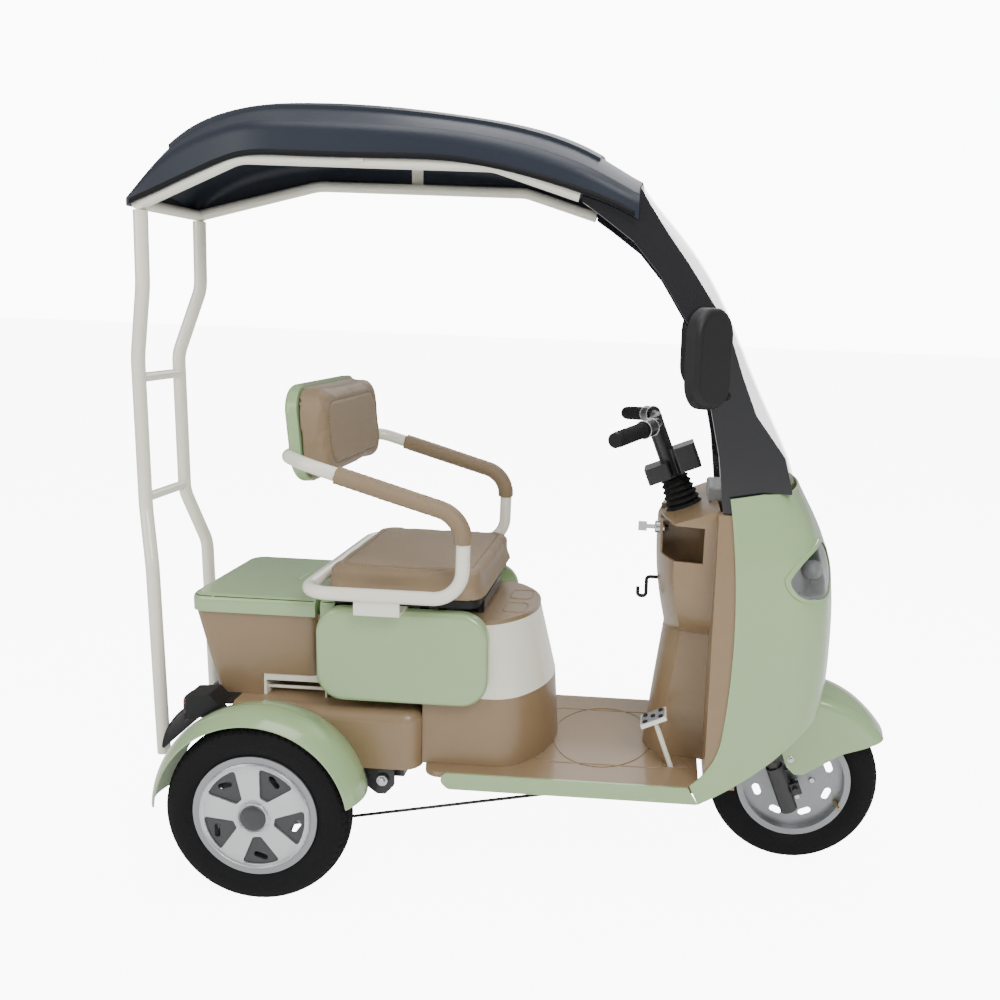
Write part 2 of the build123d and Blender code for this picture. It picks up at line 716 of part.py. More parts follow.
# Pedestal and floor
def pedestal():
    """Tan base, cream front panel and tan tray, stacked under the seat."""
    x0 = rear_x + deck_span[1] + seat_gap
    nose_low, nose_mid, nose_top = rear_x + 619, rear_x + 609, rear_x + 570
    half_low, half_mid, half_top = 192.0, 186.0, 162.0
    z0, z1, z2 = floor_z + seat_gap, pedestal_base_top, pedestal_top

    def ring(z, nose, half, rear, inset):
        corner = pedestal_corner - inset
        return Plane.XY.offset(z) * bow_face(rear, nose - inset, half - inset, pedestal_bow, corner)

    base = loft([ring(z0, nose_low, half_low, x0, 0), ring(z1, nose_mid, half_mid, x0, 0)])
    low, high = ring(z0 - 1, nose_low, half_low, x0 - 9, wall), ring(z1 + 1, nose_mid, half_mid, x0 - 9, wall)
    base -= loft([low, high])
    save("pedestal_base", base)
    rear = rear_x + side_panel_span[1] - 90
    z1 += seat_gap
    panel = loft([ring(z1, nose_mid, half_mid, rear, 0), ring(z2, nose_top, half_top, rear, 0)])
    low, high = ring(z1 - 1, nose_mid, half_mid, rear - 9, wall), ring(z2 + 1, nose_top, half_top, rear - 9, wall)
    panel -= loft([low, high])
    save("pedestal_panel", panel)
    tray = extrude(Plane.XY.offset(z2 + seat_gap) * bow_face(rear, nose_top, half_top, 90, 80), amount=10)
    for side in (-1, 1):
        tray -= Pos(rear_x + post_x[1], side * rail_half, z2) * Cylinder(post_r + seat_gap, 60)
    save("pedestal_tray", tray)
    save("battery_block", block(rear_x + 345, rear_x + 585, -80, 80, floor_z + seat_gap, floor_z + 170))


def floor():
    """Foot board between pedestal and liner, with green skirts along it."""
    x0, x1 = rear_x + floor_rear, front_x - 240
    half = floor_half
    face = make_face(Polyline((x0, -half), (x1, -half), (x1, half), (x0, half), close=True))
    face = fillet([v for v in face.vertices() if v.X < x0 + 1], 40)
    board = extrude(Plane.XY.offset(floor_z - floor_t) * face, amount=floor_t)
    board -= block(front_x - 320, x1 + 1, -50, 50, 200, 300)
    for side in (-1, 1):
        board -= Pos(rear_x + post_x[1], side * rail_half, floor_z) * Cylinder(post_r + seat_gap, 60)
    slot = Pos(front_x - 292, -133, floor_z) * Box(60, 16, 60)
    groove = Plane.XY.offset(floor_z - 1.5) * Pos(front_x - 470, 0) * (Ellipse(125, 165) - Ellipse(120, 160))
    save("floor_board", board - slot - extrude(groove, amount=5))
    y0 = floor_half + seat_gap
    outline = make_face(Polyline((x0 + 20, floor_z), (front_x - 264, floor_z), (front_x - 242, floor_z - skirt_h),
                                 (x0 + 60, floor_z - skirt_h), close=True))
    outline = fillet([v for v in outline.vertices() if v.X < x0 + 80], 16)
    skirt = side_cut(outline, y0, y0 + skirt_t)
    save("floor_skirts", *both(skirt))


def side_panels():
    """Rounded green panels beside the pedestal."""
    x0, x1 = rear_x + side_panel_span[0], rear_x + side_panel_span[1]
    z0, z1 = side_panel_low, seat_pan_z - bracket_t - seat_gap
    y0, y1 = side_panel_y
    face = make_face(Polyline((x0, z0), (x1, z0), (x1, z1), (x0, z1), close=True))
    face = fillet(face.vertices(), side_panel_corner)
    panel = side_cut(face, y0, y1)
    panel = fillet(panel.faces().sort_by(Axis.Y)[-1].edges(), 12)
    save("side_panels", *both(panel))


# Seat
loop_bends = [50, 60, 70, 65, 60]


def loop_points():
    """Corners of half the seat loop, from behind the backrest to behind the cushion."""
    back, front, low = rear_x + 35, rear_x + frame_front, rear_x + 85
    return [
        (back, 0, frame_high_z), (back, 200, frame_high_z), (back + 70, frame_half, frame_high_z - 6),
        (front, frame_half, frame_elbow_z), (front - 4, frame_half, frame_low_z), (low, frame_half, frame_low_z),
        (low, 0, frame_low_z),
    ]


def seat():
    """Seat pan, cushion, loop frame with arm pads, and the backrest."""
    x0, x1 = rear_x + seat_span[0], rear_x + seat_span[1]
    half = seat_half
    pan = extrude(Plane.XY.offset(seat_pan_z + seat_gap) * RectangleRounded(x1 - x0 - 24, 2 * half - 24, 30),
                  amount=seat_pan_t)
    mid = Pos((x0 + x1) / 2, 0, 0)
    save("seat_pan", mid * pan)
    z0 = seat_pan_z + seat_pan_t + 2 * seat_gap
    pad = extrude(Plane.XY.offset(z0) * RectangleRounded(x1 - x0, 2 * half, seat_corner), amount=seat_top_z - z0)
    pad = fillet(pad.faces().sort_by(Axis.Z)[-1].edges(), 16)
    save("seat_cushion", mid * pad)

    half_loop = tube(loop_points(), frame_r, loop_bends)
    frame = half_loop + mirror(half_loop, about=Plane.XZ)
    for side in (-1, 1):
        y0, y1 = sorted((side * (frame_half - 3), side * (frame_half + 3)))
        frame += block(rear_x + 200, rear_x + 300, y0, y1, seat_pan_z - bracket_t, frame_low_z - 5)
        y0, y1 = sorted((side * (rail_half - 10), side * (frame_half + 3)))
        frame += block(rear_x + 200, rear_x + 300, y0, y1, seat_pan_z - bracket_t, seat_pan_z)
    save("seat_frame", frame)


def backrest():
    """Moulded shell with a thick pad in front, set on the loop's cross tube."""
    z0, z1 = back_z
    h = z1 - z0
    tilt = Pos(rear_x + 35 + frame_r - 6, 0, z0) * Rot(0, -back_recline, 0)
    groove = tube(loop_points()[:3] , frame_r + seat_gap, loop_bends[0])
    groove += mirror(groove, about=Plane.XZ)
    shell = Plane.YZ * Pos(0, h / 2) * RectangleRounded(2 * back_half, h, back_corner)
    shell = extrude(shell, amount=back_shell_t)
    shell = fillet(shell.faces().sort_by(Axis.X)[0].edges(), 14)
    outline = RectangleRounded(2 * back_half - 8, h - 8, back_corner - 4)
    pad = extrude(Plane.YZ.offset(back_shell_t + seat_gap) * Pos(0, h / 2) * outline, amount=back_pad_t)
    pad = fillet(pad.faces().sort_by(Axis.X)[-1].edges(), 20)
    save("backrest_shell", tilt * shell - groove)
    save("backrest_pad", tilt * pad - groove)


def arm_pads():
    """Padded sleeves over the arm tubes."""
    rear, elbow, low = [Vector(*p) for p in loop_points()[2:5]]
    start = rear + (elbow - rear) * 0.18
    end = elbow + (low - elbow) * 0.32
    points = [tuple(start), tuple(elbow), tuple(end)]
    sleeve = tube(points, pad_r, loop_bends[2]) - tube(points, frame_r + seat_gap, loop_bends[2])
    save("arm_pads", *both(sleeve))


# Front end
def shield_rows():
    """Stations of the front shield: Z, half width, nose X."""
    return [
        (225, 236, front_x - 60), (330, 238, front_x + 12), (450, 239, front_x + 48), (600, 240, front_x + 55),
        (720, 239, front_x + 49), (850, 234, front_x + 12), (965, 226, front_x - 48),
    ]


def shield_form(inset):
    """The shield's filled form, its skin moved in by the inset."""
    back = front_x - 320 - inset
    return loft([
        Plane.XY.offset(z) * bow_face(back, nose - inset, half - inset, shield_bow, shield_corner - inset)
        for z, half, nose in shield_rows()
    ])


def lamp_prism(grow):
    """A prism through the right lamp's outline, looking out from the shield's corner."""
    face = make_face([
        ThreePointArc((-52, -2), (-25, 36), (35, 62)), ThreePointArc((35, 62), (88, 50), (104, 8)),
        ThreePointArc((104, 8), (55, -40), (0, -42)), ThreePointArc((0, -42), (-38, -30), (-52, -2)),
    ])
    if grow:
        face = offset(face, amount=grow)
    x, y, z = lamp_centre
    c, s = cos(radians(lamp_turn)), sin(radians(lamp_turn))
    return extrude(Plane(origin=(front_x + x, y, z), x_dir=(c, s, 0), z_dir=(s, -c, 0)) * face, amount=160)


def shield():
    """Front shield shell with its lamps, its lower edge swept up over the wheel."""
    outer, inner, room = shield_form(0), shield_form(wall), shield_form(wall + seat_gap)
    edge_x = front_x - 183
    outline = make_face([
        ThreePointArc((edge_x - 25, shield_top_z - 13), (edge_x, 640), (edge_x - 14, 400)),
        ThreePointArc((edge_x - 14, 400), (edge_x - 40, 330), (edge_x - 78, floor_z + 6)),
        Line((edge_x - 78, floor_z + 6), (edge_x - 58, floor_z - skirt_h)),
        ThreePointArc((edge_x - 58, floor_z - skirt_h), (edge_x + 20, 292), (edge_x + 114, 372)),
        Line((edge_x + 114, 372), (edge_x + 250, 500)),
        Line((edge_x + 250, 500), (edge_x + 300, 500)), Line((edge_x + 300, 500), (edge_x + 300, shield_top_z)),
        Line((edge_x + 300, shield_top_z), (edge_x + 43, shield_top_z)),
        Line((edge_x + 43, shield_top_z), (edge_x - 25, shield_top_z - 13)),
    ])
    hole, rim_out, rim_in = lamp_prism(lamp_bezel + seat_gap), lamp_prism(lamp_bezel), lamp_prism(seat_gap)
    shell = (outer - inner) & side_cut(outline, -300, 300)
    save("front_shield", shell - hole - mirror(hole, about=Plane.XZ))
    bezel = (rim_out - rim_in) & (shield_form(-3) - inner)
    save("lamp_bezels", *both(bezel))
    save("lamp_lenses", *both(lamp_prism(0) & (shield_form(-1) - shield_form(wall - 1))))
    bowl = (room - shield_form(lamp_bowl_depth)) & lamp_prism(lamp_bezel - 2)
    bowl -= (room - shield_form(lamp_bowl_depth - wall)) & lamp_prism(-4)
    turn = radians(lamp_turn)
    u, v, out = 30, 8, 52
    x = front_x + lamp_centre[0] + u * cos(turn) + out * sin(turn)
    y = lamp_centre[1] + u * sin(turn) - out * cos(turn)
    bowl += Pos(x, y, lamp_centre[2] + v) * Sphere(22)
    bowl -= lamp_prism(seat_gap) & (shield_form(-2) - shield_form(wall - 1 + seat_gap))
    save("lamp_bowls", *both(bowl))
    return room


def pillars(room, roof_cut):
    """Black pillars from the shield up to the canopy, either side of the screen."""
    tip = roof_front_end + 4.2
    rear_edge = [(tip, 1529), (-504, 1505), (-434, 1455), (-377, 1390), (-313, 1290), (-257, 1113), (-236, 1020)]
    front_edge = [(-79, 955), (-98, 1025), (-164, 1112), (-196, 1189), (-224, 1266), (-260, 1329), (-320, 1415),
                  (-363, 1471), (-402, 1527), (-426, 1565)]
    foot = shield_top_z - 49 + seat_gap
    outline = [*rear_edge, (-221, foot), (-79, foot), *front_edge, (-426, 1600), (tip, 1585)]
    face = make_face(Polyline(*[(front_x + x, z) for x, z in outline], close=True))
    pillar = side_cut(face, *pillar_y)
    split = shield_top_z + seat_gap
    above = pillar - block(front_x - 600, front_x + 100, 100, 300, 800, split)
    piece = above + (pillar & room) - roof_cut
    save("pillars", *both(piece.solids().sort_by(SortBy.VOLUME)[-1]))


def windscreen(roof_cut):
    """Clear screen curved between the pillars, from shield to canopy."""
    rows = [(shield_top_z + seat_gap, -50), (1025, -78), (1145, -140), (1285, -206), (1435, -294), (1598, -430)]
    half = pillar_y[0] - seat_gap

    def bow(z, nose, w, inset):
        x = front_x + nose - inset
        edges = [
            ThreePointArc((x - 52, -w), (x, 0), (x - 52, w)), Line((x - 52, w), (x - 140, w)),
            Line((x - 140, w), (x - 140, -w)), Line((x - 140, -w), (x - 52, -w)),
        ]
        return Plane.XY.offset(z) * make_face(edges)

    outer = loft([bow(z, n, half, 0) for z, n in rows])
    inner = loft([bow(z, n, half + 1, screen_t * 1.6) for z, n in rows])
    screen = outer - inner - roof_cut
    save("windscreen", screen.solids().sort_by(SortBy.VOLUME)[-1])


def liner():
    """Leg liner: a hollow column that widens into a bowl, with pockets and a flange inside the shield."""
    column = [(floor_z + seat_gap, 75, -372), (450, 75, -352), (590, 78, -334)]
    bowl = [(590, 78, -334), (612, 118, -338), (645, 145, -345), (700, 160, -354), (790, 165, -360),
            (930, 150, -352)]
    wall_x = front_x + liner_wall_front

    def bell(z, half, rear, inset):
        x = front_x + rear + inset
        w = half - inset
        front = wall_x + (30 if inset else 0)
        edges = [
            ThreePointArc((x + 40, -w), (x, 0), (x + 40, w)), Line((x + 40, w), (front, w + 20)),
            Line((front, w + 20), (front, -w - 20)), Line((front, -w - 20), (x + 40, -w)),
        ]
        return Plane.XY.offset(z) * make_face(edges)

    def form(inset):
        low = (column[0][0] - (1 if inset else 0), *column[0][1:])
        lower = loft([bell(z, h, r, inset) for z, h, r in [low, *column[1:]]], ruled=True)
        return lower + loft([bell(z, h, r, inset) for z, h, r in bowl])

    outer, inner = form(0), form(wall)
    room, tub = shield_form(wall + seat_gap), shield_form(2 * wall + seat_gap)
    low, high = floor_z + seat_gap, shield_top_z - 54
    wing = room & block(wall_x - wall, wall_x, -300, 300, low, high)
    flange = (room - tub) & block(wall_x - 1, wall_x + liner_flange, -300, 300, low, high)
    dash = room & block(wall_x - wall, front_x, -300, 300, high, high + 5)
    deck = gaiter_span[0] - seat_gap
    above = steer * (Pos(0, 0, deck + 200) * Box(800, 800, 400))
    above = above & block(front_x - 900, wall_x, -400, 400, 0, 2000)
    deck_room = steer * (Pos(0, 0, deck - wall + 200) * Box(800, 800, 400))
    body = outer + wing + flange + dash - (inner - deck_room) - above
    z0, z1 = pocket_z
    for side in (-1, 1):
        y0, y1 = sorted((side * (pocket_y - wall), side * 200))
        cup = inner & block(front_x - 420, wall_x - wall, y0, y1, z0 - wall, z1 + wall)
        y0, y1 = sorted((side * pocket_y, side * 200))
        cup -= block(front_x - 420, wall_x - 2 * wall, y0, y1, z0, z1)
        y0, y1 = sorted((side * (pocket_y + 34), side * 220))
        body = body + cup - block(front_x - 420, wall_x - 30, y0, y1, pocket_mouth_z, z1)
    x, y, z = lock_place
    body -= rod((front_x + x - 30, y, z), (front_x + x + 20, y, z), lock_r + seat_gap)
    body -= rod((front_x + x - 30, 0, hook_z), (front_x + x + 20, 0, hook_z), hook_r + seat_gap)
    body -= steer * (Pos(0, 0, 700) * Cylinder(stem_r + 8, 200))
    save("leg_liner", body.solids().sort_by(SortBy.VOLUME)[-1])


def dash_pieces():
    """Instrument pod, ignition lock with its key, and the bag hook, all on the liner."""
    wall_x = front_x + liner_wall_front
    base = shield_top_z - 54 + 5 + seat_gap
    pod = block(front_x + pod_span[0], front_x + pod_span[1], -70, 70, base, pod_top_z)
    pod = fillet(pod.faces().sort_by(Axis.Z)[-1].edges(), 8)
    deck = steer * (Pos(0, 0, gaiter_span[0] - 100) * Box(400, 300, 200))
    pod -= deck & block(front_x - 400, wall_x + seat_gap, -200, 200, 800, 1000)
    save("instrument_pod", pod)
    x, y, z = lock_place
    x += front_x
    lock = rod((x - 12, y, z), (x + 10, y, z), lock_r)
    lock = fillet(lock.faces().sort_by(Axis.X)[0].edges(), 3)
    lock += block(x - 38, x - 11, y - 1.5, y + 1.5, z - 5, z + 5)
    lock += block(x - 50, x - 30, y - 1.5, y + 1.5, z - 11, z + 11)
    save("ignition_lock", lock)
    hook = tube([(x + 8, 0, hook_z), (x - 26, 0, hook_z), (x - 26, 0, hook_z - 48), (x - 46, 0, hook_z - 48),
                 (x - 46, 0, hook_z - 26)], hook_r, 8)
    save("bag_hook", hook)


def mirrors():
    """Door style mirrors on short arms at the pillars."""
    shell = extrude(Plane.YZ * RectangleRounded(128, 200, 56), amount=32)
    shell = fillet(shell.faces().sort_by(Axis.X)[-1].edges(), 14)
    shell = Pos(front_x - 283, 287, 1228) * Rot(0, 0, 36) * shell
    arm = rod((front_x - 262, 272, 1160), (front_x - 229, 208, 1150), 11)
    arm -= block(front_x - 400, front_x, 100, pillar_y[1] + seat_gap, 1000, 1300)
    save("mirrors", *both(shell + arm))


# Steering assembly
def fork():
    """Crown, two legs with sliders and the wheel spindle, on the steering stem."""
    parts = Pos(0, 0, crown_z + crown_h / 2) * Box(40, 2 * fork_half + 2 * fork_leg_r, crown_h)
    for side in (-1, 1):
        top = crown_z + crown_h
        parts += Pos(0, side * fork_half, (top - 36) / 2) * Cylinder(fork_leg_r, top + 36)
        parts += Pos(0, side * fork_half, 12) * Cylinder(slider_r, 116)
        parts += Pos(fork_offset / 2, side * fork_half, 0) * Box(fork_offset + 26, 12, 30)
        face_y = fork_half + fork_leg_r
        parts += Pos(0, side * (face_y - 4), reflector_t) * Box(24, 12, 44)
    parts += Pos(fork_offset, 0, 0) * Rot(90, 0, 0) * Cylinder(front_shaft_r, 2 * fork_half + 30)
    stem_top = bar_t - 8
    parts += Pos(0, 0, (crown_z + 4 + stem_top) / 2) * Cylinder(stem_r, stem_top - crown_z - 4)
    parts = steer * parts
    seat_y = fender_side_y - seat_gap
    for x, z in fender_bolts:
        leg_x = steer_point(0, (z - steer_origin.Z) / caster_cos)[0]
        for side in (-1, 1):
            y0, y1 = sorted((side * (fork_half + 4), side * (seat_y - 5)))
            parts += block(leg_x, front_x + x + 6, y0, y1, z - 9, z + 9)
            parts += rod((front_x + x, side * (fork_half + 4), z), (front_x + x, side * seat_y, z), 9)
            parts -= rod((front_x + x, side * 40, z), (front_x + x, side * 100, z), fender_bolt_r)
    save("front_fork", parts)
    pad_y = fork_half + fork_leg_r + 2 + seat_gap
    amber = Pos(0, pad_y + 2.5, reflector_t) * Box(22, 5, 40)
    save("fork_reflectors", *both(steer * fillet(amber.edges().filter_by(Axis.Y), 4)))


def handlebar():
    """Swept bar on a covered column, with junction boxes, switch housings and grips."""
    bx, bz = steer_point(0, bar_t)
    pts = [(bx, 0, bz), (bx + 6, 70, bz + 6), (bx - 8, 140, bz + 4), (bx - 76, 272, bz - 10)]
    half = tube(pts, bar_r, 50)
    bar = half + mirror(half, about=Plane.XZ)
    low = gaiter_span[1] + 3
    column = Pos(0, 0, (low + bar_t + 13) / 2) * Cylinder(20, bar_t + 13 - low)
    column += Pos(-30, 0, low + 22) * Box(58, 84, 38)
    column += Pos(44, 0, low + 36) * Box(52, 76, 58)
    column = steer * fillet(column.edges().filter_by(Axis.Z), 6)
    stem_hole = steer * (Pos(0, 0, bar_t - 90) * Cylinder(stem_r + pin_gap, 164))
    a, b = Vector(*pts[2]), Vector(*pts[3])
    d = (b - a).normalized()
    housing = rod(tuple(b - d * (grip_length + 36)), tuple(b - d * (grip_length + 1)), 19)
    save("handlebar", (bar + column + housing + mirror(housing, about=Plane.XZ)) - stem_hole)
    start, end = b - d * grip_length, b + d * 4
    grip = rod(tuple(start), tuple(end), grip_r)
    grip -= rod(tuple(start - d), tuple(b + d * seat_gap), bar_r + seat_gap)
    save("grips", *both(grip))


def gaiter():
    """Ribbed rubber gaiter round the stem."""
    t0, t1 = gaiter_span
    r0, r1 = gaiter_r
    n = 2 * gaiter_ribs
    pts = [(stem_r + seat_gap, t0)]
    for k in range(n + 1):
        t = t0 + (t1 - t0) * k / n
        r = r0 + (r1 - r0) * k / n - (6 if k % 2 else 0)
        pts.append((r, t))
    pts.append((stem_r + seat_gap, t1))
    body = revolve(Plane.XZ * make_face(Polyline(*pts, close=True)), axis=Axis.Z)
    save("steering_gaiter", steer * body)


def front_fender():
    """Front mudguard with side skirts bolted to the fork, and the inner guard behind."""
    r, t = front_fender_r, front_fender_t
    half = fender_side_y + t

    def form(r, half):
        edges = [
            Line((0, -half), (r - 34, -half)),
            ThreePointArc((r - 34, -half), (r - 12, -half + 8), (r - 6, -half + 26)),
            ThreePointArc((r - 6, -half + 26), (r, 0), (r - 6, half - 26)),
            ThreePointArc((r - 6, half - 26), (r - 12, half - 8), (r - 34, half)),
            Line((r - 34, half), (0, half)),
            Line((0, half), (0, -half)),
        ]
        return Pos(front_x, 0, axle_z) * revolve(make_face(edges), axis=Axis.Y)

    outline = [
        (204, 352), (150, 327), (98, 309), (47, 275), (13, 253), (-9, 252), (-28, 270), (-42, 308), (-55, 338),
        (-85, 438), (-88, 480), (230, 480), (230, 352),
    ]
    face = make_face(Polyline(*[(front_x + x, z) for x, z in outline], close=True))
    guard = (form(r, half) - form(r - t, half - t)) & side_cut(face, -100, 100)
    for x, z in fender_bolts:
        guard -= rod((front_x + x, -100, z), (front_x + x, 100, z), fender_bolt_r)
    inner_half = fork_half - fork_leg_r - 0.5
    inner_r = tyre_r + 13
    turn = Pos(front_x, 0, axle_z)
    strip = make_face(Polyline((inner_r - t, -inner_half), (inner_r, -inner_half), (inner_r, inner_half),
                               (inner_r - t, inner_half), close=True))
    strip = turn * Rot(0, -162, 0) * revolve(strip, axis=Axis.Y, revolution_arc=66)
    step = make_face(Polyline((inner_r - t, -inner_half), (r - 3, -half + 20), (r - 3, half - 20),
                              (inner_r - t, inner_half), close=True))
    step = turn * Rot(0, -109, 0) * revolve(step, axis=Axis.Y, revolution_arc=1.2)
    save("front_fender", guard + strip + step)


def brake_pedal():
    """Foot pedal on a stem through the floor slot, on a pivot at the frame rail."""
    x, y, z = front_x - 292, -133, 251
    pad = Pos(x - 54, y, 396) * Rot(0, -24, 0) * Box(62, 58, 9)
    stem = rod((x, y, z), (x - 53, y, 394), 6)
    pivot = rod((x, y - 10, z), (x, -rail_half - rail_w / 2 - seat_gap, z), 8)
    save("brake_pedal", pad + stem + pivot)


wheels()
rear_axle()
shocks()
brake_rods()
chassis()
pivots()
ladder()
roof_frame()
canopy()
rear_deck()
fenders()
valance()
tail_lamps()
box()
lid()
pedestal()
floor()
side_panels()
seat()
backrest()
arm_pads()
roof_room = canopy_form(-40) - canopy_form(canopy_wall + seat_gap)
pillars(shield(), roof_room)
windscreen(roof_room)
liner()
dash_pieces()
mirrors()
fork()
handlebar()
gaiter()
front_fender()
brake_pedal()
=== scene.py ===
"""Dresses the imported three-wheeled electric motorcycle, and lights and frames it like the photograph."""

import logging
import math
from dataclasses import dataclass, field
from enum import Enum

import bmesh
import bpy
from mathutils import Matrix, Vector
from mathutils.bvhtree import BVHTree
from mathutils.kdtree import KDTree


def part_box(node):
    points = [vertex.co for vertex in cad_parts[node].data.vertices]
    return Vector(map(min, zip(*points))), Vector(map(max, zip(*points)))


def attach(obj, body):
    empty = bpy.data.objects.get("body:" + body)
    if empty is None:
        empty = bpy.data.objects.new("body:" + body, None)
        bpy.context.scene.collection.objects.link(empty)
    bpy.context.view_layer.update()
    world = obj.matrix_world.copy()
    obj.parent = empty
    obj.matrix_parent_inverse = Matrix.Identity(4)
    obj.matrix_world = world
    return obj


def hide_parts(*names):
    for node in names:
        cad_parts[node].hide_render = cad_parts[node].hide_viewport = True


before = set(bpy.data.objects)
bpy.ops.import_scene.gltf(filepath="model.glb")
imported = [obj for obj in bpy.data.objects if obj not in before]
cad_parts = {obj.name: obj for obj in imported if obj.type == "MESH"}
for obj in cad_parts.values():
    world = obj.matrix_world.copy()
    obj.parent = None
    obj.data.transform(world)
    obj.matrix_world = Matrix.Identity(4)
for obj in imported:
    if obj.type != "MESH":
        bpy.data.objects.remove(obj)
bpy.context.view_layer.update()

LOG = logging.getLogger("trike")

Socket = bpy.types.NodeSocket
Shape = bmesh.types.BMesh
Mesh = bpy.types.Mesh
Piece = bpy.types.Object
Pair = tuple[float, float]
Triple = tuple[float, float, float]

# Where the axles are, in metres.
FRONT_X = 0.6805
REAR_X = -0.5215
AXLE_Z = 0.205
HALF_TRACK = 0.305
FRONT_HUB = (FRONT_X, 0.0, AXLE_Z)
REAR_HUBS = {"right": (REAR_X, -HALF_TRACK, AXLE_Z), "left": (REAR_X, HALF_TRACK, AXLE_Z)}

DUST_COLOUR = (0.45, 0.42, 0.38)


class Pattern(Enum):
    """The surface patterns that a finish may carry."""

    SMOOTH = "smooth"
    GRAINED = "grained"
    BRUSHED = "brushed"
    LEATHER = "leather"
    DOTTED = "dotted"


def fill(node: bpy.types.Node, **values: object) -> None:
    """Sets a node's inputs.

    Args:
        node: The node.
        values: Input names, with _ for a space, and their values.
    """
    for name, value in values.items():
        node.inputs[name.replace("_", " ")].default_value = value


class Tree:
    """A node tree with short calls for the nodes that the finishes share."""

    def __init__(self, tree: bpy.types.NodeTree) -> None:
        """Keeps the tree.

        Args:
            tree: The node tree to build in.
        """
        self.tree = tree

    def add(self, kind: str, **values: object) -> bpy.types.Node:
        """Adds a node and sets its own properties.

        Args:
            kind: The node's type name.
            values: Property names and values.

        Returns:
            The new node.
        """
        node = self.tree.nodes.new(kind)
        for name, value in values.items():
            setattr(node, name, value)
        return node

    def link(self, start: Socket, end: Socket) -> None:
        """Joins two sockets.

        Args:
            start: The socket that gives.
            end: The socket that takes.
        """
        self.tree.links.new(start, end)

    def noise(self, coords: Socket, scale: float, detail: float = 4.0) -> Socket:
        """Adds a noise.

        Args:
            coords: The coordinates that it reads.
            scale: How many waves there are in a metre.
            detail: How many octaves it has.

        Returns:
            The noise's value.
        """
        node = self.add("ShaderNodeTexNoise")
        fill(node, Scale=scale, Detail=detail)
        self.link(coords, node.inputs["Vector"])
        return node.outputs["Fac"]

    def spread(self, value: Socket, low: float, high: float, start: float = 0.0,
               end: float = 1.0) -> Socket:
        """Maps a value from one range to another.

        Args:
            value: The value to map.
            low: What the start becomes.
            high: What the end becomes.
            start: Where the value starts.
            end: Where it ends.

        Returns:
            The mapped value.
        """
        node = self.add("ShaderNodeMapRange")
        fill(node, From_Min=start, From_Max=end, To_Min=low, To_Max=high)
        self.link(value, node.inputs["Value"])
        return node.outputs["Result"]

    def maths(self, operation: str, first: Socket,
              second: Socket | float) -> Socket:
        """Adds a sum of two values.

        Args:
            operation: The Math node's operation.
            first: The first value.
            second: The second value, a socket or a number.

        Returns:
            The result.
        """
        node = self.add("ShaderNodeMath", operation=operation)
        self.link(first, node.inputs[0])
        if isinstance(second, float):
            node.inputs[1].default_value = second
        else:
            self.link(second, node.inputs[1])
        return node.outputs[0]

    def mix(self, factor: Socket, first: tuple | Socket,
            second: tuple | Socket) -> Socket:
        """Mixes two colours.

        Args:
            factor: How much of the second there is.
            first: The colour at 0.
            second: The colour at 1.

        Returns:
            The mixed colour.
        """
        node = self.add("ShaderNodeMix", data_type="RGBA")
        self.link(factor, node.inputs["Factor"])
        for name, colour in (("A", first), ("B", second)):
            socket = [s for s in node.inputs if s.name == name and s.type == "RGBA"][0]
            if isinstance(colour, tuple):
                socket.default_value = (*colour, 1.0)
            else:
                self.link(colour, socket)
        return [s for s in node.outputs if s.type == "RGBA"][0]

    def group(self, group: bpy.types.NodeTree, **values: float) -> bpy.types.Node:
        """Places a node group with its own values.

        Args:
            group: The group.
            values: Input names, with _ for a space, and their values.

        Returns:
            The group's node.
        """
        node = self.add("ShaderNodeGroup", node_tree=group)
        fill(node, **values)
        return node


def open_group(name: str, inputs: dict[str, float], outputs: list[str]) -> tuple[Tree, dict, dict]:
    """Starts a shared effect's node group.

    Args:
        name: The group's name.
        inputs: Its value inputs and their defaults.
        outputs: Its value outputs.

    Returns:
        The tree, the sockets that its inputs give, and the sockets that its outputs take.
    """
    group = bpy.data.node_groups.new(name, "ShaderNodeTree")
    group.interface.new_socket("Vector", in_out="INPUT", socket_type="NodeSocketVector")
    for key, value in inputs.items():
        socket = group.interface.new_socket(key, in_out="INPUT", socket_type="NodeSocketFloat")
        socket.default_value = value
    for key in outputs:
        group.interface.new_socket(key, in_out="OUTPUT", socket_type="NodeSocketFloat")
    tree = Tree(group)
    start = tree.add("NodeGroupInput")
    end = tree.add("NodeGroupOutput")
    return tree, dict(start.outputs.items()), dict(end.inputs.items())


def open_material(name: str) -> tuple[bpy.types.Material, Tree, bpy.types.Node]:
    """Starts a material.

    Args:
        name: Its name.

    Returns:
        The material, its tree and its shader.
    """
    material = bpy.data.materials.new(name)
    material.use_nodes = True
    return material, Tree(material.node_tree), material.node_tree.nodes["Principled BSDF"]


def mottle_group() -> bpy.types.NodeTree:
    """Builds the soft unevenness that moulded and painted pieces have.

    Returns:
        The group, with a cloud value and a fine speck value.
    """
    tree, given, asked = open_group("mottle", {"Cloud Scale": 4.0, "Speck Scale": 400.0}, ["Cloud", "Speck"])
    for name, detail in (("Cloud", 3.0), ("Speck", 2.0)):
        noise = tree.add("ShaderNodeTexNoise")
        fill(noise, Detail=detail)
        tree.link(given["Vector"], noise.inputs["Vector"])
        tree.link(given[name + " Scale"], noise.inputs["Scale"])
        tree.link(noise.outputs["Fac"], asked[name])
    return tree.tree


